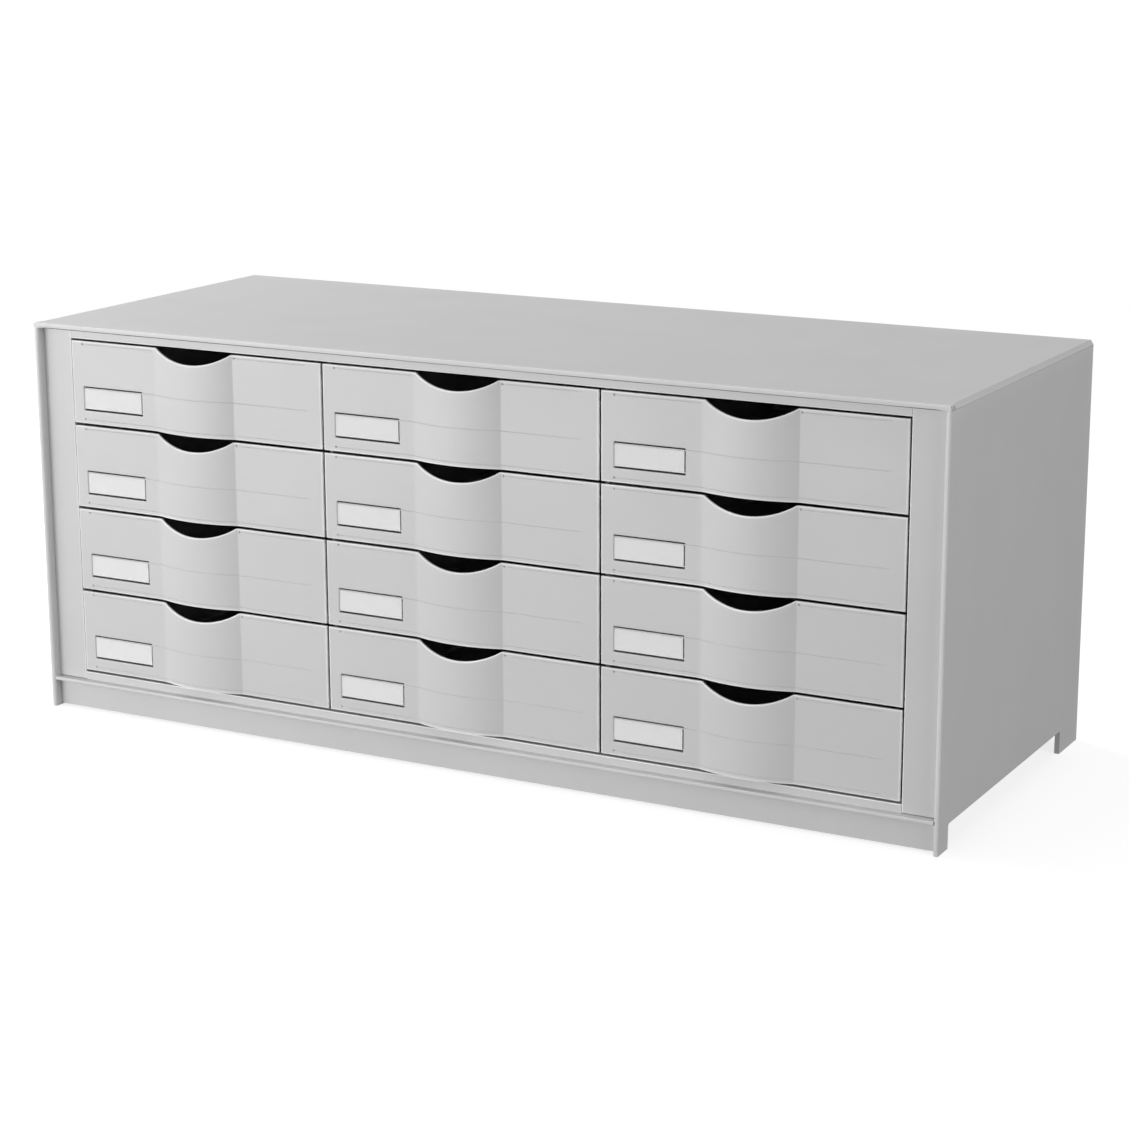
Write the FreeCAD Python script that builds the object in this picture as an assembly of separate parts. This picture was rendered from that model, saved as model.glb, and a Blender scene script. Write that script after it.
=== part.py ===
import FreeCAD, Part
import math
import os

# Twelve-drawer desktop paper organiser, moulded in polystyrene. Millimetres.
# +X runs to the right seen from the front, -Y to the front, +Z up.
# The origin is the centre of the footprint on the surface that the feet stand on.

V = FreeCAD.Vector

# ---- Driving dimensions: shell ----
WIDTH = 860.0
DEPTH = 338.0
HEIGHT = 354.0
PANEL = 4.5              # top and side sheets
FACE_RECESS = 7.5        # face frame behind the front lips
LIP_ROUND = 1.5          # round of the front lips
TOP_EDGE_ROUND = 4.0     # long side edges of the top
BASE_UNDERSIDE = 25.0
BASE_THICKNESS = 3.2
BASE_ROUND = 0.8         # front edge of the bottom sheet, the ledge under the drawers
BACK_THICKNESS = 3.0
BACK_INSET = 1.0
FRONT_FOOT_LENGTH = 21.4
BACK_FOOT_LENGTH = 46.8
FOOT_HEIGHT = 20.6
FOOT_CORNER = 2.0        # inside corners of the notch between the feet
PLINTH_CLEARANCE = 1.5   # plinth above the table

# ---- Driving dimensions: face frame ----
FRAME_THICKNESS = 3.0
FRAME_RETURN = 12.5      # depth of the return flanges; liners and partitions start behind them
RETURN_WALL = 2.5
OPENING_LEFT = -395.6    # the drawers stand close to the left-hand stile
OPENING_RIGHT = 396.4
OPENING_BOTTOM = 36.0
OPENING_END_GAP = 1.3    # to the drawers at the top and bottom of the opening
STILE_FOOT_GAP = 0.5     # open joint under each stile
EDGE_BREAK = 0.6

# ---- Driving dimensions: drawer grid ----
ROWS = 4
COLUMNS = ("left", "centre", "right")
COLUMN_PITCH = 264.0
ROW_PITCH = 76.2
FRONT_WIDTH = 262.2
FRONT_HEIGHT = 74.4

# ---- Driving dimensions: drawer ----
FRONT_WALL = 2.5
GRIP_HALF_WIDTH = 41.0
GRIP_BOW = 7.5           # how far the grip stands forward
SCOOP_HALF_WIDTH = 40.4
SCOOP_DEPTH = 11.8
LINE_WIDTH = 0.7         # moulded lines sunk across the front
LINE_DEPTH = 0.3
UPPER_LINE = 71.0        # heights of their middles above the lower edge
MIDDLE_LINE = 32.2
LOWER_LINE = 3.8
LINE_LEFT = -119.2       # where they start and end, from the middle of the front
LINE_RIGHT = 117.0
UPPER_LINE_BREAK = 42.0  # the upper line stops short of the scoop on both sides
TRAY_WIDTH = 252.0
TRAY_BACK_GAP = 7.0      # tray to back panel, drawer shut
TRAY_BOTTOM = 3.0        # above the lower edge of the front
TRAY_HEIGHT = 59.0
TRAY_WALL = 2.0
TRAY_CORNER = 10.0
RIM_WIDTH = 3.5
RIM_THICKNESS = 2.0

# ---- Driving dimensions: label pocket ----
POCKET_LEFT = 11.5       # from the left edge of the front
POCKET_BOTTOM = 11.7     # above the lower edge of the front
POCKET_WIDTH = 63.5
POCKET_HEIGHT = 21.7
POCKET_DEPTH = 1.2
POCKET_SLOT = 1.4        # through slots along its upper and lower edge
CARD_THICKNESS = 0.3
WINDOW_THICKNESS = 0.6
CARD_END_GAP = 1.5       # slot between the card and the right-hand wall
BRIDGE_HEIGHT = 2.0      # left standing between that slot and the long ones

# ---- Driving dimensions: runners ----
PARTITION_THICKNESS = 3.0
LINER_THICKNESS = 2.5
RUNNER_REACH = 3.8
RUNNER_THICKNESS = 2.5
RUNNER_CLEARANCE = 0.4   # under the rim
HOLD_DOWN_CLEARANCE = 0.6
RUNNER_LEAD = 6.0        # tapered nose of each rib
RUNNER_NOSE = 1.0        # height of its blunt front end
RUNNER_BACK_GAP = 2.0
DRAWER_TRAVEL = 235.0
CATCH_LENGTH = 6.0
CATCH_HEIGHT = 4.5
CATCH_REACH = 3.0
CATCH_CLEARANCE = 0.5    # under the runner
STOP_LENGTH = 5.5
STOP_CLEARANCE = 0.5
OVERCUT = 1.0            # how far a cutter stands clear of what it cuts

# ---- Places worked out from the above ----
FRONT_Y = -DEPTH / 2.0
BACK_Y = DEPTH / 2.0
FACE_Y = FRONT_Y + FACE_RECESS
BACK_PANEL_Y = BACK_Y - BACK_INSET - BACK_THICKNESS
INNER_HALF_WIDTH = WIDTH / 2.0 - PANEL
TOP_UNDERSIDE = HEIGHT - PANEL
BASE_TOP = BASE_UNDERSIDE + BASE_THICKNESS
LOWEST_FRONT = OPENING_BOTTOM + OPENING_END_GAP
HIGHEST_FRONT = LOWEST_FRONT + (ROWS - 1) * ROW_PITCH + FRONT_HEIGHT
OPENING_TOP = HIGHEST_FRONT + OPENING_END_GAP
WALL_Y = FACE_Y + FRAME_RETURN
RUNNER_END_Y = BACK_PANEL_Y - RUNNER_BACK_GAP
TRAY_BACK_Y = BACK_PANEL_Y - TRAY_BACK_GAP
CATCH_BACK_Y = TRAY_BACK_Y - TRAY_CORNER
RIM_UNDERSIDE = TRAY_BOTTOM + TRAY_HEIGHT - RIM_THICKNESS
RIM_TOP = TRAY_BOTTOM + TRAY_HEIGHT


def box(x0, x1, y0, y1, z0, z1):
    """Solid block between two opposite corners."""
    return Part.makeBox(x1 - x0, y1 - y0, z1 - z0, V(x0, y0, z0))


def outline(points):
    """Closed wire of straight edges through the points."""
    return Part.makePolygon(list(points) + [points[0]])


def extrude(wire, direction):
    """Solid swept from a closed wire."""
    return Part.Face(wire).extrude(direction)


def edges_along(shape, axis, test):
    """Edges parallel to one axis (0, 1 or 2) whose midpoint passes the test."""
    found = []
    for edge in shape.Edges:
        if len(edge.Vertexes) != 2:
            continue
        run = edge.Vertexes[1].Point - edge.Vertexes[0].Point
        across = [abs(run[i]) for i in range(3) if i != axis]
        middle = (edge.Vertexes[1].Point + edge.Vertexes[0].Point) * 0.5
        if max(across) < 1e-6 and test(middle):
            found.append(edge)
    return found


def near(value, target):
    """True where two lengths agree."""
    return abs(value - target) < 0.01


def arc_radius(half_width, rise):
    """Radius of the circle whose arc spans 2 x half_width and rises by rise."""
    return (half_width ** 2 + rise ** 2) / (2.0 * rise)


def row_bottom(row):
    """Height of the lower edge of a drawer front; row 1 is the top one."""
    return LOWEST_FRONT + (ROWS - row) * ROW_PITCH


def column_centre(column):
    """X of the middle of a column."""
    return (COLUMNS.index(column) - 1) * COLUMN_PITCH


def rounded_bar(points, radii, direction):
    """Bar swept from a rectangle whose corners are rounded; a radius of 0 leaves one square.

    The points go round the rectangle in order.
    """
    edges = []
    count = len(points)
    starts, ends = [], []
    for i, corner in enumerate(points):
        to_last = (points[i - 1] - corner).normalize()
        to_next = (points[(i + 1) % count] - corner).normalize()
        starts.append(corner + to_last * radii[i])
        ends.append(corner + to_next * radii[i])
        if radii[i] > 0.0:
            inward = (to_last + to_next) * (radii[i] * (1.0 - math.sqrt(0.5)))
            edges.append(Part.Arc(starts[i], corner + inward, ends[i]).toShape())
    for i in range(count):
        edges.append(Part.makeLine(ends[i], starts[(i + 1) % count]))
    return extrude(Part.Wire(Part.__sortEdges__(edges)), direction)


# ---- Shell ----

def make_top_panel():
    """Top sheet: caps the sides, bullnosed in front, well rounded along both sides."""
    half = WIDTH / 2.0
    across = rounded_bar(
        [V(-half, FRONT_Y, TOP_UNDERSIDE), V(-half, BACK_Y, TOP_UNDERSIDE),
         V(-half, BACK_Y, HEIGHT), V(-half, FRONT_Y, HEIGHT)],
        [LIP_ROUND, 0.0, LIP_ROUND, LIP_ROUND],
        V(WIDTH, 0.0, 0.0))
    along = rounded_bar(
        [V(-half, FRONT_Y, TOP_UNDERSIDE), V(half, FRONT_Y, TOP_UNDERSIDE),
         V(half, FRONT_Y, HEIGHT), V(-half, FRONT_Y, HEIGHT)],
        [0.0, 0.0, TOP_EDGE_ROUND, TOP_EDGE_ROUND],
        V(0.0, DEPTH, 0.0))
    return across.common(along)


def make_side_panel(side):
    """Side sheet with a bullnosed front lip and two feet left by a long notch below."""
    notch_front = FRONT_Y + FRONT_FOOT_LENGTH
    notch_back = BACK_Y - BACK_FOOT_LENGTH
    inner = side * INNER_HALF_WIDTH
    profile = outline([
        V(inner, FRONT_Y, 0.0),
        V(inner, notch_front, 0.0),
        V(inner, notch_front, FOOT_HEIGHT),
        V(inner, notch_back, FOOT_HEIGHT),
        V(inner, notch_back, 0.0),
        V(inner, BACK_Y, 0.0),
        V(inner, BACK_Y, TOP_UNDERSIDE),
        V(inner, FRONT_Y, TOP_UNDERSIDE),
    ])
    panel = extrude(profile, V(side * PANEL, 0.0, 0.0))
    corners = edges_along(panel, 0, lambda m: near(m.z, FOOT_HEIGHT))
    panel = panel.makeFillet(FOOT_CORNER, corners)
    lip_edges = edges_along(panel, 2, lambda m: near(m.y, FRONT_Y))
    return panel.makeFillet(LIP_ROUND, lip_edges)


def make_base_panel():
    """Bottom sheet; its bullnosed front edge is the ledge under the drawers."""
    half = INNER_HALF_WIDTH
    base = box(-half, half, FRONT_Y, BACK_PANEL_Y + BACK_THICKNESS, BASE_UNDERSIDE, BASE_TOP)
    front_edges = edges_along(base, 0, lambda m: near(m.y, FRONT_Y))
    return base.makeFillet(BASE_ROUND, front_edges)


def make_plinth():
    """Kick board under the ledge, an angle whose top flange lies against the base."""
    half = INNER_HALF_WIDTH
    profile = outline([
        V(-half, FACE_Y, PLINTH_CLEARANCE),
        V(-half, FACE_Y, BASE_UNDERSIDE),
        V(-half, FACE_Y + FRAME_RETURN, BASE_UNDERSIDE),
        V(-half, FACE_Y + FRAME_RETURN, BASE_UNDERSIDE - RETURN_WALL),
        V(-half, FACE_Y + FRAME_THICKNESS, BASE_UNDERSIDE - RETURN_WALL),
        V(-half, FACE_Y + FRAME_THICKNESS, PLINTH_CLEARANCE),
    ])
    plinth = extrude(profile, V(2.0 * half, 0.0, 0.0))
    lower = edges_along(plinth, 0, lambda m: near(m.y, FACE_Y) and near(m.z, PLINTH_CLEARANCE))
    return plinth.makeFillet(EDGE_BREAK, lower)


def make_back_panel():
    """Flat sheet between the sides, standing on the base."""
    half = INNER_HALF_WIDTH
    return box(-half, half, BACK_PANEL_Y, BACK_PANEL_Y + BACK_THICKNESS, BASE_TOP, TOP_UNDERSIDE)


# ---- Face frame ----

def make_stile(side):
    """Upright of the face frame, an angle with its return flange along the opening."""
    outer = side * INNER_HALF_WIDTH
    inner = OPENING_LEFT if side < 0 else OPENING_RIGHT
    flange = inner + side * RETURN_WALL
    foot = BASE_TOP + STILE_FOOT_GAP
    profile = outline([
        V(outer, FACE_Y, foot),
        V(inner, FACE_Y, foot),
        V(inner, FACE_Y + FRAME_RETURN, foot),
        V(flange, FACE_Y + FRAME_RETURN, foot),
        V(flange, FACE_Y + FRAME_THICKNESS, foot),
        V(outer, FACE_Y + FRAME_THICKNESS, foot),
    ])
    stile = extrude(profile, V(0.0, 0.0, TOP_UNDERSIDE - foot))
    inner_edge = edges_along(stile, 2, lambda m: near(m.y, FACE_Y) and near(m.x, inner))
    return stile.makeFillet(EDGE_BREAK, inner_edge)


def make_rail(opening_edge, outer_edge):
    """Cross rail of the face frame, an angle with its return flange along the opening."""
    inward = math.copysign(RETURN_WALL, outer_edge - opening_edge)
    profile = outline([
        V(OPENING_LEFT, FACE_Y, outer_edge),
        V(OPENING_LEFT, FACE_Y, opening_edge),
        V(OPENING_LEFT, FACE_Y + FRAME_RETURN, opening_edge),
        V(OPENING_LEFT, FACE_Y + FRAME_RETURN, opening_edge + inward),
        V(OPENING_LEFT, FACE_Y + FRAME_THICKNESS, opening_edge + inward),
        V(OPENING_LEFT, FACE_Y + FRAME_THICKNESS, outer_edge),
    ])
    rail = extrude(profile, V(OPENING_RIGHT - OPENING_LEFT, 0.0, 0.0))
    edge = edges_along(rail, 0, lambda m: near(m.y, FACE_Y) and near(m.z, opening_edge))
    return rail.makeFillet(EDGE_BREAK, edge)


# ---- Runner walls ----

def make_rib(wall_x, side, z_low):
    """Rib standing RUNNER_REACH out of a wall; its front end tapers to a blunt nose."""
    z_high = z_low + RUNNER_THICKNESS
    taper = (RUNNER_THICKNESS - RUNNER_NOSE) / 2.0
    profile = outline([
        V(wall_x, WALL_Y, z_low + taper),
        V(wall_x, WALL_Y + RUNNER_LEAD, z_low),
        V(wall_x, RUNNER_END_Y, z_low),
        V(wall_x, RUNNER_END_Y, z_high),
        V(wall_x, WALL_Y + RUNNER_LEAD, z_high),
        V(wall_x, WALL_Y, z_high - taper),
    ])
    return extrude(profile, V(side * RUNNER_REACH, 0.0, 0.0))


def make_runner_ribs(wall_x, side):
    """All ribs on one face of a wall: a runner, a hold-down and a stop for each drawer."""
    stop_back = CATCH_BACK_Y - CATCH_LENGTH - DRAWER_TRAVEL - STOP_CLEARANCE
    low_x, high_x = sorted([wall_x, wall_x + side * CATCH_REACH])
    ribs = []
    for row in range(1, ROWS + 1):
        bottom = row_bottom(row)
        runner_low = bottom + RIM_UNDERSIDE - RUNNER_CLEARANCE - RUNNER_THICKNESS
        ribs.append(make_rib(wall_x, side, runner_low))
        ribs.append(make_rib(wall_x, side, bottom + RIM_TOP + HOLD_DOWN_CLEARANCE))
        ribs.append(box(low_x, high_x, stop_back - STOP_LENGTH, stop_back,
                        runner_low - CATCH_HEIGHT, runner_low))
    return ribs


def make_partition(column_edge):
    """Wall between two columns, with ribs on both faces."""
    half = PARTITION_THICKNESS / 2.0
    wall = box(column_edge - half, column_edge + half, WALL_Y, BACK_PANEL_Y, BASE_TOP, TOP_UNDERSIDE)
    ribs = make_runner_ribs(column_edge - half, -1) + make_runner_ribs(column_edge + half, 1)
    return wall.fuse(ribs).removeSplitter()


def make_liner(side):
    """Inner wall behind a stile, with ribs on the face towards the drawers."""
    face = side * (1.5 * COLUMN_PITCH - PARTITION_THICKNESS / 2.0)
    outer = face + side * LINER_THICKNESS
    wall = box(min(face, outer), max(face, outer), WALL_Y, BACK_PANEL_Y, BASE_TOP, TOP_UNDERSIDE)
    return wall.fuse(make_runner_ribs(face, -side)).removeSplitter()


# ---- Drawers: drawn about their own centre line, lower edge of the front at z = 0 ----

def face_line(inset):
    """Edges of the front's plan from left to right, inset into the wall: flat, bow, flat."""
    outer_radius = arc_radius(GRIP_HALF_WIDTH, GRIP_BOW)
    centre_y = FACE_Y - GRIP_BOW + outer_radius
    radius = outer_radius - inset
    y = FACE_Y + inset
    reach = math.sqrt(radius ** 2 - (centre_y - y) ** 2)
    half = FRONT_WIDTH / 2.0
    return [
        Part.makeLine(V(-half, y, 0.0), V(-reach, y, 0.0)),
        Part.Arc(V(-reach, y, 0.0), V(0.0, centre_y - radius, 0.0), V(reach, y, 0.0)).toShape(),
        Part.makeLine(V(reach, y, 0.0), V(half, y, 0.0)),
    ]


def front_slab(front_inset, rear_inset, z_low, z_high):
    """Slab over the whole width that follows the flat and bowed face between two insets."""
    half = FRONT_WIDTH / 2.0
    ends = [
        Part.makeLine(V(x, FACE_Y + front_inset, 0.0), V(x, FACE_Y + rear_inset, 0.0))
        for x in (-half, half)
    ]
    edges = face_line(front_inset) + face_line(rear_inset) + ends
    slab = extrude(Part.Wire(Part.__sortEdges__(edges)), V(0.0, 0.0, z_high - z_low))
    slab.translate(V(0.0, 0.0, z_low))
    return slab


def make_front():
    """Flat front with one bowed grip of even wall, and the arched scoop in its top edge."""
    radius = arc_radius(SCOOP_HALF_WIDTH, SCOOP_DEPTH)
    centre = V(0.0, FRONT_Y - FACE_RECESS, FRONT_HEIGHT - SCOOP_DEPTH + radius)
    length = FACE_Y + FRONT_WALL + OVERCUT - centre.y
    scoop = Part.makeCylinder(radius, length, centre, V(0.0, 1.0, 0.0))
    return front_slab(0.0, FRONT_WALL, 0.0, FRONT_HEIGHT).cut(scoop)


def make_moulded_lines():
    """Cutters for the shallow lines across the front; the middle one starts at the label."""
    pocket_right = -FRONT_WIDTH / 2.0 + POCKET_LEFT + POCKET_WIDTH
    runs = [
        (UPPER_LINE, LINE_LEFT, -UPPER_LINE_BREAK),
        (UPPER_LINE, UPPER_LINE_BREAK, LINE_RIGHT),
        (MIDDLE_LINE, pocket_right, LINE_RIGHT),
        (LOWER_LINE, LINE_LEFT, LINE_RIGHT),
    ]
    lines = []
    for middle, x0, x1 in runs:
        low = middle - LINE_WIDTH / 2.0
        high = middle + LINE_WIDTH / 2.0
        stretch = box(x0, x1, FACE_Y - GRIP_BOW - OVERCUT, FACE_Y + FRONT_WALL, low, high)
        lines.append(front_slab(-OVERCUT, LINE_DEPTH, low, high).common(stretch))
    return lines


def tray_block(offset, z_low, z_high):
    """Block with the tray's plan, grown by offset, between two heights; its rear corners are round."""
    half = TRAY_WIDTH / 2.0 + offset
    front = FACE_Y + FRONT_WALL
    back = TRAY_BACK_Y + offset
    corner = TRAY_CORNER + offset
    return rounded_bar(
        [V(-half, front, z_low), V(half, front, z_low), V(half, back, z_low), V(-half, back, z_low)],
        [0.0, 0.0, corner, corner],
        V(0.0, 0.0, z_high - z_low))


def make_bow_floor():
    """Piece of floor that closes the underside of the hollow bow."""
    arc = face_line(FRONT_WALL)[1]
    chord = Part.makeLine(arc.Vertexes[-1].Point, arc.Vertexes[0].Point)
    wire = Part.Wire([arc, chord])
    wire.translate(V(0.0, 0.0, TRAY_BOTTOM))
    return extrude(wire, V(0.0, 0.0, TRAY_WALL))


def make_tray():
    """Open tray with a rim round its sides and back, and a catch near each rear corner."""
    body = tray_block(0.0, TRAY_BOTTOM, RIM_TOP).fuse(tray_block(RIM_WIDTH, RIM_UNDERSIDE, RIM_TOP))
    tray = body.cut(tray_block(-TRAY_WALL, TRAY_BOTTOM + TRAY_WALL, RIM_TOP + OVERCUT))
    half = TRAY_WIDTH / 2.0
    catch_top = RIM_UNDERSIDE - RUNNER_CLEARANCE - RUNNER_THICKNESS - CATCH_CLEARANCE
    pieces = [make_bow_floor()]
    for side in (-1, 1):
        inner = side * (half - TRAY_WALL / 2.0)
        outer = side * (half + CATCH_REACH)
        pieces.append(box(min(inner, outer), max(inner, outer), CATCH_BACK_Y - CATCH_LENGTH, CATCH_BACK_Y,
                          catch_top - CATCH_HEIGHT, catch_top))
    return tray.fuse(pieces)


def make_pocket_cuts():
    """Solids taken out of the front for the label: a shallow pocket and three through slots.

    Bridges at both ends of the short slot tie the pocket's floor to its right-hand wall.
    """
    x0 = -FRONT_WIDTH / 2.0 + POCKET_LEFT
    x1 = x0 + POCKET_WIDTH
    z0 = POCKET_BOTTOM
    z1 = z0 + POCKET_HEIGHT
    front = FACE_Y - OVERCUT
    rear = FACE_Y + FRONT_WALL + OVERCUT
    pocket = box(x0, x1, front, FACE_Y + POCKET_DEPTH, z0, z1)
    lower = box(x0, x1, front, rear, z0, z0 + POCKET_SLOT)
    upper = box(x0, x1, front, rear, z1 - POCKET_SLOT, z1)
    bridge = POCKET_SLOT + BRIDGE_HEIGHT
    end = box(x1 - CARD_END_GAP, x1, front, rear, z0 + bridge, z1 - bridge)
    return pocket.fuse([lower, upper, end])


def make_drawer():
    """One moulding: front, grip, scoop, label pocket, moulded lines and tray."""
    drawer = make_front().fuse(make_tray()).removeSplitter()
    return drawer.cut([make_pocket_cuts()] + make_moulded_lines())


def make_label_sheet(y_front, thickness):
    """Thin sheet lying in the label pocket between its slots."""
    x0 = -FRONT_WIDTH / 2.0 + POCKET_LEFT
    z0 = POCKET_BOTTOM + POCKET_SLOT
    return box(x0, x0 + POCKET_WIDTH - CARD_END_GAP, y_front, y_front + thickness,
               z0, z0 + POCKET_HEIGHT - 2.0 * POCKET_SLOT)


# ---- Assembly ----

def build_shell():
    """Named solids of the fixed cabinet."""
    edge = COLUMN_PITCH / 2.0
    return {
        "top_panel": make_top_panel(),
        "side_panel_left": make_side_panel(-1),
        "side_panel_right": make_side_panel(1),
        "base_panel": make_base_panel(),
        "back_panel": make_back_panel(),
        "plinth": make_plinth(),
        "stile_left": make_stile(-1),
        "stile_right": make_stile(1),
        "top_rail": make_rail(OPENING_TOP, TOP_UNDERSIDE),
        "bottom_rail": make_rail(OPENING_BOTTOM, BASE_TOP),
        "liner_left": make_liner(-1),
        "liner_right": make_liner(1),
        "partition_left": make_partition(-edge),
        "partition_right": make_partition(edge),
    }


def build_drawers():
    """Named solids of the twelve drawers with their cards and windows."""
    card_y = FACE_Y + POCKET_DEPTH - CARD_THICKNESS
    patterns = {
        "drawer": make_drawer(),
        "label_card": make_label_sheet(card_y, CARD_THICKNESS),
        "label_window": make_label_sheet(card_y - WINDOW_THICKNESS, WINDOW_THICKNESS),
    }
    placed = {}
    for row in range(1, ROWS + 1):
        for column in COLUMNS:
            place = V(column_centre(column), 0.0, row_bottom(row))
            for name, pattern in patterns.items():
                copy = pattern.copy()
                copy.translate(place)
                placed["%s_row%d_%s" % (name, row, column)] = copy
    return placed


def main():
    """Build every piece and write one STEP file for each."""
    os.makedirs("parts", exist_ok=True)
    pieces = build_shell()
    pieces.update(build_drawers())
    for name, shape in pieces.items():
        if not shape.isValid() or len(shape.Solids) != 1:
            raise RuntimeError("%s is not one valid solid" % name)
        shape.exportStep("parts/%s.step" % name)
    print("%d pieces" % len(pieces))


main()
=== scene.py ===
"""Looks of a twelve-drawer desktop paper organiser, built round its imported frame.

Lengths are in metres, in the frame's own axes: +X to the right seen from the front, -Y to the
front and +Z up. Each class is one sub-assembly or one finish. A sub-assembly works out its
surfaces as whole numpy arrays, dresses them and hangs them on the body that carries them.
"""

from __future__ import annotations

import logging
import math
from dataclasses import dataclass
from enum import Enum
from typing import Any, Callable, Sequence

import bpy
import numpy as np
from bpy.types import Material, Node, NodeSocket, NodeTree, Object
from mathutils import Matrix, Vector

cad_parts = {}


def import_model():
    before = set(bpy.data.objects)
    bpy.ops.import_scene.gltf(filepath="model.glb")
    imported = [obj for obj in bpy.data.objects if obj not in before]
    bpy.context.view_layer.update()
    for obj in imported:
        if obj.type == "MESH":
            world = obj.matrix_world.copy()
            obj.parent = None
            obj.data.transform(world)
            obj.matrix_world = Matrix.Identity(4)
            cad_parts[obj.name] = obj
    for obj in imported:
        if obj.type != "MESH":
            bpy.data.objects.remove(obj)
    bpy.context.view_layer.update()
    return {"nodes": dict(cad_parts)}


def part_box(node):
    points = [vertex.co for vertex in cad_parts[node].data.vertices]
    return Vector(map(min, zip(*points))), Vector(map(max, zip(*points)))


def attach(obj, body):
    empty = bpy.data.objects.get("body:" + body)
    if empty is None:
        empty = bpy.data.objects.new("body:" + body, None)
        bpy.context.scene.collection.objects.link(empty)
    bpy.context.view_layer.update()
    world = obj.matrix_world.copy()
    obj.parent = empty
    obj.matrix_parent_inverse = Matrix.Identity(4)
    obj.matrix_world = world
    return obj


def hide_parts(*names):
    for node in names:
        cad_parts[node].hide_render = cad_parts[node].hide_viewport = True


LOG = logging.getLogger("paper_organiser")
CABINET = "cabinet"
ROWS = 4
MM = 0.001
# The plastic draws this attribute as painted light: above 0 a painted highlight along rounded edges, which
# rubbing also makes smoother; below 0 painted shade.
WEAR_AND_PAINTED_LIGHT = "wear_and_painted_light"  # Point attribute that the plastic's material reads.
SHARP_ANGLE = math.radians(38.0)  # Edges that turn by more are drawn sharp.
ARC_STEPS = 5  # Steps along a rounded edge.
SUPPORT = 0.25 * MM  # How far past a round one more line stands, so that flat faces shade evenly.
NEAR_STOP = 0.35  # An even grid line nearer to a stop than this share of its step is left out.
NARROW = 0.05 * MM  # Narrowest useful gap between grid lines.
ON_LINE = 1e-6  # A grid point as near as this to a line counts as on it.
HOLLOW_STEPS = np.array([-1.0, -0.7, -0.35, 0.0, 0.35, 0.7, 1.0])  # Lines that draw a hollow.
RIM_STEPS = np.array([-1.0, -0.6, -0.2, 0.0])  # Lines that draw a pocket's rim.
CORNER_STEPS = np.linspace(0.0, 1.0, 6)  # Lines that draw a corner rounded in the plan.
WHITE = (1.0, 1.0, 1.0, 1.0)
POLYSTYRENE_IOR = 1.59
NOISE_SPAN = (0.3, 0.7)  # Where most values of a noise lie.
WIDE_NOISE_SPAN = (0.25, 0.75)  # Where nearly all of them lie.
RANGE = ("Value", "From Min", "From Max", "To Min", "To Max")  # Inputs of a Map Range.

Array = np.ndarray
Radius = Array | float
Span = tuple[float, float]
Place = Callable[[Array, Array, Array], Array]
Test = Callable[[Array, Array], Array]


class Side(Enum):
    """Left or right half of the cabinet, as a sign along X."""

    LEFT = -1
    RIGHT = 1

    @property
    def word(self) -> str:
        """The side as the node names spell it."""
        return self.name.lower()


class Column(Enum):
    """The three stacks of drawers, as the node names spell them."""

    LEFT = "left"
    CENTRE = "centre"
    RIGHT = "right"


class Skin(Enum):
    """The two faces of a moulded sheet."""

    OUTER = 0
    INNER = 1


# ---------------------------------------------------------------------------------------------
# Surfaces
# ---------------------------------------------------------------------------------------------


@dataclass
class Surface:
    """Closed surface of one moulding.

    Attributes:
        points: Its points, one row each.
        faces: Point numbers of each face.
        wear_and_painted_light: Rubbing at each point, up to 1, which the plastic also draws lighter as a
            painted highlight; below 0 it is painted shade instead.
    """

    points: Array
    faces: list[list[int]]
    wear_and_painted_light: Array

    def volume(self) -> float:
        """Volume inside: a sixth of the sum of the triple products over fans of triangles.

        Returns:
            The volume, below 0 where the faces point inwards.
        """
        total = 0.0
        by_size: dict[int, list[list[int]]] = {}
        for face in self.faces:
            by_size.setdefault(len(face), []).append(face)
        for size, group in by_size.items():
            corners = self.points[np.asarray(group)]
            for k in range(1, size - 1):
                cross = np.cross(corners[:, k], corners[:, k + 1])
                total += float(np.einsum("ij,ij->", corners[:, 0], cross))
        return total / 6.0

    def outward(self) -> "Surface":
        """The same surface with its faces turned outwards.

        Returns:
            This surface, or a copy with every face reversed.
        """
        if self.volume() >= 0.0:
            return self
        return Surface(self.points, [face[::-1] for face in self.faces], self.wear_and_painted_light)

    def moved(self, x: float, y: float, z: float) -> "Surface":
        """The same surface somewhere else."""
        return Surface(self.points + np.array([x, y, z]), self.faces, self.wear_and_painted_light)


def join_surfaces(surfaces: Sequence[Surface]) -> Surface:
    """Puts several closed surfaces into one.

    Args:
        surfaces: The surfaces; each is turned outwards on the way.

    Returns:
        One surface with all their points and faces.
    """
    faces: list[list[int]] = []
    shift = 0
    for surface in surfaces:
        faces += [[corner + shift for corner in face] for face in surface.outward().faces]
        shift += len(surface.points)
    points = np.concatenate([surface.points for surface in surfaces])
    wear_and_painted_light = np.concatenate([surface.wear_and_painted_light for surface in surfaces])
    return Surface(points, faces, wear_and_painted_light)


def round_drop(distance: Array, radius: Radius) -> Array:
    """How far a face falls back near a rounded edge.

    A quarter circle: radius - sqrt(radius^2 - (radius - distance)^2), and nothing past the radius.

    Args:
        distance: Distance into the sheet from the edge.
        radius: Radius of the round; 0 leaves the edge square.

    Returns:
        The fall, the same shape as distance.
    """
    short = np.clip(radius - np.clip(distance, 0.0, None), 0.0, radius)
    return radius - np.sqrt(np.maximum(radius**2 - short**2, 0.0))


def smooth_step(value: Array, low: float, high: float) -> Array:
    """Rises from 0 at low to 1 at high as 3t^2 - 2t^3."""
    t = np.clip((value - low) / (high - low), 0.0, 1.0)
    return t * t * (3.0 - 2.0 * t)


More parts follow.
